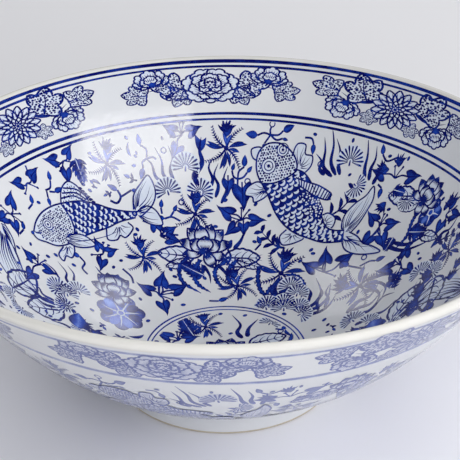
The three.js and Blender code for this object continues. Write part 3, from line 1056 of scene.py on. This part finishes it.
def fan_weed(pen, place, turn, size, rays=13, fan=215):
    """A fan of fine clubbed rays over so many degrees, like an umbel seen from the side."""
    pen = pen.moved(place, turn, size)
    arc = np.exp(1j * np.radians(90 + fan * np.linspace(-0.52, 0.52, 15)))
    pen.fill(np.append(10.6 * arc, 0.6j - 1), 0.5, 2j, white=True, lift=1)
    for k in range(rays):
        way = np.exp(1j * np.radians(90 + fan * (k / (rays - 1) - 0.5)))
        pen.stroke([1.8 * way, 10.4 * way * (0.93 + 0.07 * (k % 2))], 1.45, clubbed, 0.90, count=6)
    pen.stroke([-3j, 0, 1j], 1.2, tailed, 0.85)


def arrow_leaf(pen, foot, tip, width):
    """A dark arrowhead of a leaf with two round lobes, whose stalk joins at the notch."""
    foot, tip = complex(foot), complex(tip)
    way = tip - foot
    pen = pen.moved(foot, np.degrees(np.angle(way)) - 90, abs(way) / 10)
    half = np.array([0 + 0j, 2.0 - 1.6j, 4.3 - 2.2j, 5.3 + 0.4j, 4.1 + 3.4j, 2.0 + 6.0j, 0.9 + 8.2j])
    half = half.real * width + 1j * half.imag
    line = np.concatenate([[0.8 + 10.6j], -np.conj(half[:0:-1]), half, [0.8 + 10.6j]])
    pen.fill(sweep(line, 46)[:-1], (0.98, 0.62), 2.2j, lift=2)
    pen.stroke([0j, 3j, 0.6 + 9j], 0.8, tailed, 1.0, lift=3)


def bells(pen, centre, *tips):
    """Stalks out of one node to arrowhead leaves, with a few bare stamens between them."""
    centre = complex(centre)
    for k, tip in enumerate(tips):
        tip = complex(tip)
        way = (tip - centre) / abs(tip - centre)
        leaf_length = min(11.5, 0.55 * abs(tip - centre) + 4.5)
        foot = tip - way * leaf_length * 0.45
        tip = tip + way * leaf_length * 0.55
        bow = (centre + foot) / 2 + 1j * way * (1.6 if k % 2 else -1.6)
        pen.stroke([centre, bow, foot + way * 1.0], 0.95, even, 0.9)
        arrow_leaf(pen, foot, tip, 0.85)
        stamen = centre + 8.4 * way * np.exp(1j * np.radians(56 if k % 2 else -60))
        pen.stroke([centre, (centre + stamen) / 2 + 0.5j * way, stamen], 0.75, even, 0.88)
        pen.dot(stamen, 1.2, 0.92, squash=0.7, turn=30 * k)


def bud(pen, foot, tip, girth=0.5, tone=(0.92, 0.55)):
    """A drop-shaped bud with a darker edge and a point."""
    foot, tip = complex(foot), complex(tip)
    pen.leaf(foot, tip, girth * abs(tip - foot), 0, tone, 0.38, lift=2)


def tendril(pen, line, tip=None, girth=0.55, width=1.1):
    """A curling stem, with a bud or leaf at its end when a tip is given."""
    pen.stroke(line, width, even, 0.88)
    if tip is not None:
        bud(pen, line[-1], tip, girth)


def sprig(pen, line, leaves, length):
    """A stem with pairs of narrow leaves that curve forwards."""
    stem = sweep(line, 4 * leaves + 1)
    pen.stroke(line, 1.5, tailed, 0.9)
    for k in range(1, leaves + 1):
        foot = stem[4 * k - 2]
        way = stem[4 * k] - stem[4 * k - 3]
        way = way / abs(way)
        for side in (1, -1):
            reach = length * (1.05 - 0.10 * k)
            tip = foot + reach * way * np.exp(1j * side * 0.9)
            pen.leaf(foot, tip, 3.0, 0.16 * -side, 0.94, 0.6, lift=2)


def frond(pen, line, width, teeth=10):
    """A dark frond whose two edges are cut into teeth that point forwards."""
    count = 4 * teeth + 1
    middle = sweep(line, count)
    along = np.gradient(middle)
    across = 1j * along / np.abs(along)
    s = np.linspace(0, 1, count)
    half = width / 2 * (0.45 + 0.55 * (1 - (s * teeth) % 1)) * np.minimum(1, (1.02 - s) * 3) ** 0.7
    cells = middle[:, None] + (across * half)[:, None] * np.array([-1, -0.2, 0.2, 1])
    pen.ink.grid(pen.lay(cells), pen.level + 2, np.array([0.96, 0.70, 0.70, 0.96]))


def veined(pen, foot, tip, width, pairs=5):
    """A pale leaf with a wavy dark outline, a rib and slanting veins."""
    foot, tip = complex(foot), complex(tip)
    way = tip - foot
    pen = pen.moved(foot, np.degrees(np.angle(way)) - 90, abs(way) / 20)
    s = np.linspace(0, 1, 25)
    half = width / 2 * np.sin(np.pi * s**0.8) ** 0.7 * (1 + 0.12 * np.abs(np.sin(np.pi * s * pairs)))
    outline = np.concatenate([half + 20j * s, (-half + 20j * s)[-2:0:-1]])
    pen.fill(outline, 0.5, 9j, white=True, lift=0)
    pen.outlined(outline, 0.95, 0.93)
    pen.stroke([0j, 10j, 19j], 1.0, tailed, 0.92)
    for k in range(pairs):
        root = 20j * (k + 0.35) / pairs
        reach = width * 0.42 * np.sin(np.pi * (k + 0.9) / (pairs + 0.7))
        for side in (reach, -reach):
            pen.stroke([root, root + side * 0.6 + 1.6j, root + side + 4.2j], 0.6, tailed, 0.85)


def dark_leaf(pen, foot, tip, width, lobes=5):
    """A dark spiky leaf: pointed lobes along both sides of a rib."""
    foot, tip = complex(foot), complex(tip)
    way = tip - foot
    pen.leaf(foot, tip, width * abs(way) * 0.7, 0.05, (0.92, 0.7))
    for k in range(lobes):
        root = foot + way * (0.10 + 0.16 * k)
        for side in (1, -1):
            reach = way * (0.50 - 0.055 * k) * np.exp(1j * side * (1.05 - 0.1 * k))
            pen.leaf(root, root + reach, 0.17 * abs(way), 0.1 * side, (0.92, 0.75), lift=1)
    pen.stroke([foot, (foot + tip) / 2, tip], 0.5, tailed, 0.5, white=True, lift=3)


def lily_pad(pen, centre, radius, veins=7):
    """A floating leaf in round lobes, washed light and dark, with pale veins out of a ringed heart."""
    centre = complex(centre)
    angle = np.linspace(0, 2 * np.pi, 70, endpoint=False)
    outline = centre + radius * (0.82 + 0.24 * np.abs(np.sin(veins / 2 * angle + 0.4))) * np.exp(1j * angle)
    pen.fill(outline, (0.90, 0.48), centre, lift=1)
    for k in range(veins):
        way = np.exp(1j * (2 * np.pi * (k + 0.5) / veins + 0.3))
        wash = (0.42, 0.25) if k % 3 else (0.95, 0.85)
        pen.dot(centre + 0.62 * radius * way, 0.30 * radius, wash, 0.7, np.degrees(np.angle(way)), lift=2)
        way = np.exp(1j * (2 * np.pi * k / veins + 0.3))
        pen.stroke([centre + 2.5 * way, centre + 0.5 * radius * way * (1 + 0.04j),
                    centre + 0.88 * radius * way], 1.0, tailed, 0.5, white=True, lift=3)
    pen.hoop(centre, 2.2, 0.9, 0.5, lift=3, white=True)


def blades(pen, width, *lines):
    """Long wavy blades of weed that taper from their feet to their tips."""
    for line in lines:
        pen.stroke(line, 0.8 * width, tailed, 0.9, count=7 * len(line))


def weeds(pen):
    """Half the plants of the field, laid in the gaps about the two koi."""
    for place, turn, size in [(-86 + 136j, 8, 1.05), (2 + 161j, -4, 1.15), (-53 + 79j, 20, 0.95),
                              (-20 + 116j, 0, 1.0), (8 + 64j, 15, 0.95), (36 + 70j, -20, 1.15),
                              (85 + 40j, 60, 1.15), (147 + 18j, -70, 0.9)]:
        starflower(pen, place, turn, size)
    blades(pen, 3.0, [-38 + 135j, -44 + 140j, -46 + 149j, -52 + 157j],
           [-36 + 136j, -39 + 144j, -38 + 152j, -42 + 160j],
           [-40 + 134j, -49 + 137j, -53 + 145j, -58 + 148j],
           [-11 + 133j, -8 + 140j, -11 + 148j, -8 + 155j], [-6 + 128j, -4 + 136j, -7 + 143j, -4 + 151j],
           [-2 + 124j, 2 + 133j, 0 + 141j, 3 + 149j])
    blades(pen, 3.4, [78 + 128j, 73 + 137j, 76 + 147j, 77 + 156j],
           [81 + 128j, 79 + 138j, 83 + 149j, 84 + 162j], [84 + 127j, 84 + 136j, 87 + 143j, 86 + 152j],
           [101 + 116j, 103 + 124j, 107 + 132j, 110 + 144j],
           [104 + 114j, 107 + 121j, 112 + 126j, 115 + 134j],
           [106 + 110j, 111 + 114j, 116 + 118j, 120 + 123j], [73 + 131j, 70 + 136j, 72 + 141j, 69 + 147j])
    pen.stroke([-17 + 134j, -21 + 142j, -16 + 151j, -18 + 159j, -17 + 168j], 4.6, tailed, 0.88, count=24)
    pen.fill(arcs([-22 + 170j, -18 + 158j, -13 + 168j, -17 + 166j],
                  [-22 + 162j, -13 + 160j, -15 + 166j, -19 + 167j]))
    blades(pen, 2.6, [53 + 32j, 50 + 40j, 54 + 48j, 51 + 56j], [57 + 32j, 57 + 40j, 61 + 46j, 59 + 54j],
           [61 + 33j, 64 + 40j, 63 + 46j, 67 + 52j], [-93 + 32j, -101 + 38j, -102 + 44j, -109 + 49j],
           [-94 + 31j, -104 + 34j, -110 + 40j, -118 + 42j], [-92 + 33j, -96 + 40j, -97 + 46j, -102 + 50j],
           [-106 + 13j, -114 + 12j, -118 + 16j, -124 + 14j], [-106 + 10j, -114 + 7j, -121 + 9j, -128 + 6j],
           [-105 + 7j, -112 + 3j, -118 + 4j, -124 + 1j])
    blades(pen, 3.2, [48 + 36j, 56 + 40j, 60 + 48j, 58 + 60j], [49 + 34j, 58 + 36j, 64 + 42j, 67 + 52j],
           [50 + 31j, 58 + 31j, 64 + 34j, 69 + 41j], [44 + 37j, 51 + 42j, 53 + 50j, 50 + 58j],
           [88 + 38j, 97 + 35j, 101 + 27j, 96 + 18j], [87 + 34j, 94 + 30j, 96 + 23j, 91 + 15j],
           [90 + 42j, 102 + 39j, 109 + 31j, 106 + 20j], [106 + 62j, 116 + 50j, 128 + 44j, 138 + 41j],
           [112 + 60j, 120 + 52j, 130 + 49j, 140 + 48j], [-62 + 56j, -70 + 58j, -78 + 56j, -84 + 60j],
           [-124 + 10j, -112 + 8j, -100 + 12j, -92 + 18j], [136 + 34j, 146 + 38j, 152 + 36j, 160 + 40j])
    blades(pen, 4.2, [70 + 10j, 79 + 16j, 88 + 14j, 98 + 20j, 106 + 18j],
           [72 + 15j, 81 + 21j, 90 + 20j, 99 + 27j], [74 + 21j, 82 + 27j, 90 + 27j, 97 + 34j],
           [78 + 6j, 88 + 8j, 97 + 6j, 106 + 10j])
    for centre, *tips in [(-32 + 168j, -42 + 171j, -22 + 173j, -36 + 155j),
                          (-118 + 124j, -116 + 133j, -128 + 119j, -113 + 114j),
                          (-43 + 97j, -48 + 106j, -33 + 96j, -36 + 103j),
                          (-41 + 52j, -40 + 66j, -28 + 61j, -51 + 56j, -37 + 42j),
                          (12 + 112j, 0 + 119j, 23 + 111j, 4 + 105j),
                          (105 + 78j, 101 + 88j, 93 + 72j, 105 + 65j, 115 + 74j),
                          (123 + 105j, 112 + 116j, 137 + 97j), (64 + 62j, 54 + 71j, 66 + 75j, 80 + 67j),
                          (114 + 38j, 102 + 43j, 120 + 48j, 119 + 28j),
                          (-121 + 36j, -130 + 39j, -112 + 37j, -125 + 21j),
                          (152 + 50j, 158 + 58j, 144 + 44j, 159 + 42j),
                          (-147 + 60j, -150 + 72j, -141 + 52j, -153 + 50j),
                          (-80 + 72j, -85 + 78j, -74 + 77j, -80 + 63j),
                          (-141 + 92j, -138 + 103j, -149 + 86j)]:
        bells(pen, centre, *tips)
    for foot, tip in [(13 + 134j, 14 + 118j), (3 + 139j, 3 + 129j), (13 + 109j, 13 + 100j)]:
        pen.stroke([complex(foot) + 4j, foot], 0.9, even, 0.88)
        arrow_leaf(pen, foot, tip, 0.9)
    for foot, tip, width in [(-110 + 130j, -100 + 116j, 0.6), (103 + 24j, 113 + 33j, 0.6),
                             (120 + 98j, 128 + 90j, 0.8), (121 + 86j, 130 + 80j, 0.8),
                             (113 + 64j, 105 + 57j, 0.7), (-13 + 72j, -28 + 79j, 0.6),
                             (124 + 60j, 136 + 50j, 0.7), (-2 + 88j, -14 + 84j, 0.6)]:
        dark_leaf(pen, foot, tip, width)
    for node, ways in [
        (-57 + 148j, [(-58 + 154j, -63 + 156j, -66 + 163j, 0.55), (-60 + 145j, -59 + 141j, -60 + 133j, 0.55),
                      (-53 + 150j, -50 + 149j, None, 0)]),
        (10 + 140j, [(11 + 145j, 15 + 148j, 16 + 156j, 0.55), (7 + 142j, 6 + 146j, 8 + 151j, 0.55),
                     (14 + 141j, 17 + 144j, 21 + 148j, 0.55), (10 + 135j, 13 + 130j, None, 0)]),
        (36 + 167j, [(31 + 169j, 26 + 168j, 17 + 170j, 0.6), (42 + 166j, 46 + 168j, 55 + 170j, 0.6),
                     (33 + 164j, 31 + 162j, 29 + 158j, 0.55), (40 + 163j, 45 + 163j, 49 + 161j, 0.55),
                     (36 + 170j, 37 + 172j, None, 0)]),
    ]:
        for middle, end, tip, girth in ways:
            tendril(pen, [node, middle, end], tip, girth)
    for place, radius in ((-45 + 156j, 1.9), (17 + 138j, 1.9), (38 + 174j, 2.0)):
        pen.hoop(place, radius, 0.9)
    tendril(pen, [-80 + 112j, -75 + 112j, -73 + 117j, -76 + 121j], -84 + 122j, 0.5, 1.3)
    tendril(pen, [-73 + 117j, -69 + 121j, -66 + 124j], -60 + 125j, 0.5)
    for line, tip in [([-43 + 113j, -44 + 117j], -44 + 123j), ([-37 + 112j, -35 + 116j], -33 + 121j),
                      ([-30 + 110j, -36 + 112j, -41 + 110j], -48 + 110j),
                      ([-31 + 100j, -37 + 100j, -40 + 104j], None),
                      ([-127 + 96j, -124 + 100j, -125 + 105j], -128 + 111j),
                      ([-124 + 97j, -120 + 99j], -116 + 105j), ([-126 + 96j, -124 + 92j], -121 + 87j),
                      ([-146 + 105j, -142 + 100j], -137 + 96j), ([-136 + 74j, -134 + 80j], -137 + 86j),
                      ([-138 + 50j, -136 + 56j], -138 + 62j),
                      ([-88 + 51j, -92 + 54j, -91 + 59j, -95 + 62j], -102 + 62j),
                      ([90 + 52j, 85 + 56j, 80 + 60j], 75 + 66j),
                      ([87 + 56j, 94 + 56j, 98 + 54j], 105 + 53j), ([20 + 90j, 24 + 94j], 22 + 100j),
                      ([110 + 108j, 112 + 104j], 108 + 98j),
                      ([62 + 160j, 67 + 158j, 68 + 154j], 66 + 147j),
                      ([128 + 118j, 120 + 120j, 118 + 126j], 120 + 133j),
                      ([-66 + 66j, -60 + 62j, -58 + 57j], None), ([1 + 80j, 4 + 86j, 2 + 92j], 5 + 98j),
                      ([-10 + 52j, -4 + 52j], 2 + 55j)]:
        tendril(pen, line, tip)
    sprig(pen, [68 + 100j, 74 + 102j, 82 + 104j, 88 + 108j, 94 + 116j], 4, 11.5)
    sprig(pen, [40 + 88j, 34 + 91j, 29 + 97j, 24 + 104j], 4, 9.5)
    sprig(pen, [138 + 34j, 145 + 33j, 152 + 30j, 160 + 31j], 4, 6.5)
    pen.stroke([6 + 92j, 11 + 98j, 15 + 108j], 2.6, tailed, 0.88)
    blades(pen, 2.6, [-24 + 82j, -29 + 76j, -29 + 69j], [-14 + 80j, -10 + 73j, -9 + 66j],
           [-4 + 80j, 1 + 73j, 0 + 66j])
    for foot, tip, width in [(-20 + 86j, -44 + 85j, 10), (0 + 86j, 23 + 84j, 11),
                             (134 + 83j, 116 + 96j, 11), (136 + 76j, 122 + 80j, 9),
                             (-22 + 82j, -38 + 76j, 8), (8 + 84j, 24 + 76j, 7),
                             (100 - 8j, 122 + 10j, 12), (-134 - 4j, -122 + 24j, 12),
                             (131 + 52j, 142 + 38j, 8)]:
        veined(pen, foot, tip, width)
    for line in [[-22 + 88j, -29 + 77j, -27 + 66j, -15 + 58j], [-16 + 84j, -20 + 74j, -17 + 65j, -9 + 59j],
                 [2 + 84j, -6 + 77j, -5 + 68j, 0 + 62j], [8 + 84j, 2 + 76j, 3 + 68j, 8 + 60j],
                 [22 + 78j, 21 + 66j, 24 + 56j, 34 + 50j], [30 + 62j, 26 + 55j, 28 + 48j, 36 + 44j],
                 [42 + 68j, 48 + 62j, 50 + 54j, 47 + 47j], [134 + 70j, 128 + 66j, 122 + 58j, 112 + 54j],
                 [136 + 64j, 131 + 60j, 127 + 52j, 120 + 47j]]:
        frond(pen, line, 3.7)
    fin(pen, [-152 + 50j, -142 + 42j, -136 + 30j, -128 + 19j, -116 + 8j, -124 + 3j, -136 + 4j, -148 + 12j],
        -153 + 46j, 9, 1.0)
    for place, turn, size in [(76 + 48j, 120, 1.0), (104 + 28j, 30, 1.1), (33 + 52j, 200, 1.1),
                              (-108 + 26j, 80, 0.8), (88 - 2j, 200, 1.1), (80 - 1j, 170, 1.0),
                              (157 + 52j, 60, 1.1), (40 + 62j, 250, 1.2), (30 + 60j, 300, 1.1),
                              (128 + 112j, 60, 0.9), (118 + 116j, 150, 0.9), (112 + 92j, 200, 0.9)]:
        thistle(pen, place, turn, size)
    pen.raised(3)
    for place, turn, size in [(-28 + 147j, 0, 1.0), (-40 + 129j, 22, 0.95), (-17 + 131j, -22, 0.95),
                              (93 + 133j, -25, 1.05), (94 + 115j, -150, 0.8), (41 + 58j, 0, 0.8),
                              (26 + 47j, 30, 0.7), (36 + 46j, -10, 0.75), (45 + 40j, -50, 0.7),
                              (-92 + 33j, 30, 0.8), (-105 + 27j, 60, 0.85), (-98 + 17j, 130, 0.8),
                              (125 + 20j, 0, 0.8), (133 + 12j, -80, 0.75), (77 + 12j, 20, 0.8),
                              (86 + 3j, -60, 0.75), (45 + 51j, -20, 0.75), (25 + 44j, 10, 0.75),
                              (36 + 41j, -5, 0.8), (46 + 33j, -70, 0.75), (-99 + 26j, 20, 0.8),
                              (-98 + 13j, 60, 0.8), (128 + 84j, 160, 0.7)]:
        fan_weed(pen, place, turn, size)
    pen.raised(2)
    lily_pad(pen, -64 + 29j, 15)
    lily_pad(pen, 142 + 62j, 9.5, 5)
    pen.raised(3)
    lotus(pen, -13 + 93j, 0, 1.2)
    lotus(pen, -70 + 46j, 8, 1.0)
    lotus(pen, 142 + 76j, -78, 1.02)
    pen.level += 24
    bud(pen, -89 - 2j, -90 + 13j, 0.85, (0.9, 0.3))
    for place in [107 + 6j, 127 + 32j, 60 + 22j, 53 + 15j, -13 + 70j, -95.5 + 113j, -101 + 115j,
                  -59 + 98j, -60 + 94j, -35 + 74j, -32 + 69j, -98 + 53j, -111 + 53j, -116 + 48j,
                  1 + 126j, 4 + 97j, 20 + 96j, 31 + 113j, 57 + 82j, 58 + 79j, 65 + 144j, 98 + 146j,
                  123 + 122j, 114 + 86j, 90 + 82j, 153 + 64j, -137 + 38j, -134 + 25j, -110 - 4j,
                  -92 + 22j, -82 + 22j, -93 + 13j, -26 + 47j, -47 + 28j, 36 + 36j, -66 + 141j,
                  -74 + 158j, -100 + 138j, -110 + 143j, 70 + 160j, 136 + 112j, 144 + 86j, -130 + 84j,
                  22 + 122j, -6 + 108j, 49 + 76j]:
        turn = pen.chance.uniform(-60, 60)
        pen.dot(place, 1.7, (0.92, 0.7), squash=0.68, turn=turn)
    for place in [-30 + 123j, 91 + 61j, 71 + 139j, -104 + 122j, 46 + 64j]:
        pen.hoop(place, 1.8, 0.9)


def small_growth(pen, low, high, spacing=7.0, room=3.7):
    """Buds on short stalks, leaf pairs and dabs, wherever the plants leave bare glaze.

    A jittered net of places is laid over the ring, and a place is used when no cell of ink two
    millimetres wide lies within the room that it needs.
    """
    drawn = np.concatenate(pen.ink.points)
    taken = np.unique(np.round(drawn / 2)) * 2
    chance = pen.chance
    circle = high * np.exp(1j * np.linspace(0, 2 * np.pi, 60, endpoint=False))
    places = inside_outline(circle, spacing, chance, 1.0)
    places = places[np.abs(places) > low]
    gap = np.array([np.abs(taken - place).min() for place in places])
    for place, free in zip(places[gap > room], gap[gap > room]):
        way = np.exp(2j * np.pi * chance.uniform())
        kind = chance.integers(4)
        reach = min(free, 6.5) * 0.85
        if kind == 0 or reach < 3.5:
            dab = pen.moved(place, np.degrees(np.angle(way)))
            dab.dot(0, 1.5, (0.95, 0.8), squash=0.7)
        elif kind == 1:
            pen.leaf(place - way * reach, place + way * reach, 2.6, 0.18, (0.95, 0.7))
        else:
            pen.stroke([place - way * reach, place - way * reach * 0.4 + 0.8j * way, place], 0.9, even, 0.9)
            bud(pen, place, place + way * reach, 0.55)
            for side in (1j, -1j)[:kind - 1]:
                pen.leaf(place - way * reach * 0.5, place + side * way * reach * 0.7, 1.9, 0.1, 0.92)


def field(pen):
    """The whole field: the two koi and their plants, and the same again half way round."""
    for half in (0, 180):
        turned_pen = pen.moved(0, half)
        weeds(turned_pen)
        turned_pen.raised(4)
        koi_side(turned_pen)
        koi_above(turned_pen)
    for place, turn in [(119 - 2j, 60), (123 + 3j, 100), (127 + 7j, 50), (130 + 11j, 100),
                        (134 + 14j, 40), (138 + 19j, 80), (116 - 9j, 90), (112 - 16j, 60),
                        (96 - 6j, 150), (143 - 12j, 60), (148 - 4j, 20)]:
        thistle(pen, place, turn)
    small_growth(pen, 53, 172)


ink, reserve = Marks(), Marks()
field(Pen(ink, reserve, chance=np.random.default_rng(3)))
inner_field_cut = (48.6, 179.8)
printed("inner_field_plants_and_koi", inside, ink, cobalt_ink, "inner_field_print", inner_field_cut)
printed("inner_field_reserves", inside, reserve, reserve_white, "inner_field_print", inner_field_cut)

# ==== The roundel in the middle of the floor ==================================================
# A smaller transfer inside two fine rings, laid last: a starflower, a lotus and weeds.

ink, reserve = Marks(), Marks()
for half in (0, 180):
    pen = Pen(ink, reserve, turn=half, chance=np.random.default_rng(5))
    starflower(pen, -12 + 29j, 10, 0.85)
    dark_leaf(pen, -19 + 20j, -27 + 36j, 0.6)
    bells(pen, -28 + 14j, -38 + 18j, -20 + 18j, -34 + 4j)
    blades(pen, 3.4, [10 + 18j, 7 + 24j, 9 + 31j, 4 + 40j], [13 + 19j, 14 + 27j, 20 + 35j])
    veined(pen, 14 + 12j, 36 + 16j, 11)
    veined(pen, 12 + 8j, 32 + 3j, 9)
    frond(pen, [33 + 4j, 38 + 10j, 40 + 18j], 3.6)
    fan_weed(pen, 27 + 30j, -30, 0.7)
    bud(pen, 36 + 22j, 40 + 14j)
    tendril(pen, [30 + 24j, 34 + 22j], 38 + 27j)
    pen.hoop(33 + 21j, 1.6, 0.9)
    for place in (3 + 23j, 12 + 39j, -3 + 41j, -41 + 10j, 39 + 2j):
        pen.dot(place, 1.5, (0.92, 0.7), squash=0.7, turn=20)
pen = Pen(ink, reserve, chance=np.random.default_rng(5), level=6)
lotus(pen, 0 + 3j, 0, 1.1)
pen.level += 24
lotus(pen.moved(0, 180), 0 + 5j, 0, 0.9)
roundel_cut = (0, 43.6)
printed("roundel_plants", inside, ink, cobalt_ink, "roundel_print", roundel_cut)
printed("roundel_reserves", inside, reserve, reserve_white, "roundel_print", roundel_cut)

# ==== The prints and lines outside ============================================================
# The same transfers again round the outside, with a line above and a line below the sprays. The
# sheet of koi and plants is cut off round by the foot, and its cobalt is fired paler and softer.

outer_rings = Marks()
for index, (below_lip, width) in enumerate([(5.9, 3.2), (37.4, 3.8)]):
    ring(outer_rings, outside.length - below_lip, width, 5 + index, tone=0.62, pooled_edge=-0.5)
printed("outer_banding_lines", outside, outer_rings, cobalt_soft, "outer_border_print")

outer_sprays = [189.9 - 44.6 * k for k in range(8)]
ink, reserve = border(outside, outside.length - 21.0, 0.88, outer_sprays, 1.42, 12)
printed("outer_border_blossoms", outside, ink, cobalt_soft, "outer_border_print")
printed("outer_border_reserves", outside, reserve, reserve_bled, "outer_border_print")

ink, reserve = Marks(), Marks()
field(Pen(ink, reserve, turn=143.4, flip=True, chance=np.random.default_rng(3)))
outer_field_cut = (69, 186)
printed("outer_field_plants_and_koi", outside, ink, cobalt_soft, "outer_field_print", outer_field_cut)
printed("outer_field_reserves", outside, reserve, reserve_bled, "outer_field_print", outer_field_cut)

# ==== The floor, the light and the camera =====================================================
# A plain pale sweep under the bowl. Large soft lights give the light, and cloths that only the
# glaze sees stand for the softboxes: the key shows as a window with one sharp edge.

camera_data = bpy.data.cameras.new("camera")
camera_data.sensor_width = 36
camera_data.lens = 117.391304
view_elevation, view_distance = 0.4522, 823.2417 * MM
pitch, yaw, roll = 0.4874, 0.0042, -0.0092
aim_height = (bowl_height - lip_radius) * MM
camera = bpy.data.objects.new("camera", camera_data)
camera.matrix_world = (
    Matrix.Translation((0, -np.cos(view_elevation) * view_distance,
                        aim_height + np.sin(view_elevation) * view_distance))
    @ Matrix.Rotation(-yaw, 4, "Z")
    @ Matrix.Rotation(np.pi / 2 - pitch, 4, "X")
    @ Matrix.Rotation(roll, 4, "Z")
)
bpy.context.scene.collection.objects.link(camera)
bpy.context.scene.camera = camera

floor_mesh = bpy.data.meshes.new("floor")
floor_mesh.from_pydata([(-4, -4, 0), (4, -4, 0), (4, 4, 0), (-4, 4, 0)], [], [(0, 1, 2, 3)])
floor_paint, nodes, links, shader, place = finish("floor_paint")
shader.inputs["Base Color"].default_value = (0.88, 0.88, 0.91, 1)
shader.inputs["Roughness"].default_value = 0.6
shader.inputs["Specular IOR Level"].default_value = 0.2
floor_mesh.materials.append(floor_paint)
floor = bpy.data.objects.new("floor", floor_mesh)
bpy.context.scene.collection.objects.link(floor)


def soft_light(name, place, target, width, height, power):
    """A rectangular soft light that faces a point and leaves no highlight of its own in the glaze."""
    data = bpy.data.lights.new(name, "AREA")
    data.shape = "RECTANGLE"
    data.size, data.size_y = width, height
    data.energy = power
    lamp = bpy.data.objects.new(name, data)
    away = Vector(place) - Vector(target)
    lamp.matrix_world = Matrix.Translation(place) @ away.to_track_quat("Z", "Y").to_matrix().to_4x4()
    lamp.visible_glossy = False
    bpy.context.scene.collection.objects.link(lamp)


soft_light("right", (1.47, -0.13, 0.85), (0, 0, 0.05), 1.1, 0.9, 15.8)
soft_light("front", (0.1, -1.45, 0.85), (0, 0, 0.05), 1.4, 0.9, 14.0)
soft_light("back", (0, 1.39, 0.98), (0, 0, 0.05), 1.2, 0.9, 10.0)
soft_light("top", (-0.15, -1.0, 1.3), (-0.1, -0.35, 0), 0.8, 0.8, 5.0)
cloth_height = 1.15


def softbox(name, corners, peak, fade_across, fade_down, bulge=(0, 0, 0)):
    """A glowing cloth that only the glaze sees, on four corners, which fades along both its ways.

    Each fade is a pair of lists: shares of the way, and the share of the peak glow at each.
    """
    steps = 17
    corners = np.array(corners, float)
    across, down = np.meshgrid(np.linspace(0, 1, steps), np.linspace(0, 1, steps), indexing="ij")
    across, down = across.ravel()[:, None], down.ravel()[:, None]
    cloth = (corners[0] * (1 - across) + corners[1] * across) * (1 - down)
    cloth = cloth + (corners[2] * (1 - across) + corners[3] * across) * down
    cloth = np.hstack([cloth, np.full((len(cloth), 1), cloth_height)])
    cloth = cloth + 4 * across * (1 - across) * np.array(bulge)
    mesh = bpy.data.meshes.new(name)
    row, column = np.meshgrid(np.arange(steps - 1), np.arange(steps - 1), indexing="ij")
    first = (steps * row + column).ravel()
    squares = np.stack([first, first + 1, first + steps + 1, first + steps], 1)
    mesh.from_pydata(cloth.tolist(), [], squares.tolist())
    lit = peak * np.interp(down[:, 0], *fade_down) * np.interp(across[:, 0], *fade_across)
    mesh.attributes.new("glow", "FLOAT", "POINT").data.foreach_set("value", lit)
    material = bpy.data.materials.new(name + "_cloth")
    material.use_nodes = True
    nodes = material.node_tree.nodes
    nodes.clear()
    emission = nodes.new("ShaderNodeEmission")
    fade = nodes.new("ShaderNodeAttribute")
    fade.attribute_name = "glow"
    material.node_tree.links.new(fade.outputs["Fac"], emission.inputs["Strength"])
    result = nodes.new("ShaderNodeOutputMaterial")
    material.node_tree.links.new(emission.outputs["Emission"], result.inputs["Surface"])
    mesh.materials.append(material)
    cloth_object = bpy.data.objects.new(name, mesh)
    bpy.context.scene.collection.objects.link(cloth_object)
    cloth_object.visible_diffuse = False


softbox("key_softbox", [(1.21, -0.33), (0.255, -0.80), (1.20, 0.17), (0.24, -0.46)], 13.0,
        ([0, 0.07, 1], [0, 1, 0.85]), ([0, 0.12, 0.45, 0.8, 1], [0.25, 1, 0.95, 0.45, 0]),
        (0.029, -0.058, 0))
softbox("left_softbox", [(-0.50, 0.29), (-1.30, 0.93), (-0.52, 1.18), (-1.51, 2.48)], 4.6,
        ([0, 0.04, 0.7, 1], [0, 1, 0.8, 0]), ([0, 0.15, 0.85, 1], [0, 1, 0.8, 0]))
softbox("right_softbox", [(0.43, 0.40), (1.20, 0.90), (0.40, 1.50), (1.30, 2.40)], 5.0,
        ([0, 0.2, 0.7, 1], [0, 1, 0.8, 0]), ([0, 0.15, 0.85, 1], [0, 1, 0.8, 0]))

world = bpy.data.worlds.new("studio")
bpy.context.scene.world = world
world.use_nodes = True
world.node_tree.nodes["Background"].inputs["Color"].default_value = (0.9, 0.92, 1, 1)
world.node_tree.nodes["Background"].inputs["Strength"].default_value = 0.08
bpy.context.scene.view_settings.view_transform = "Standard"
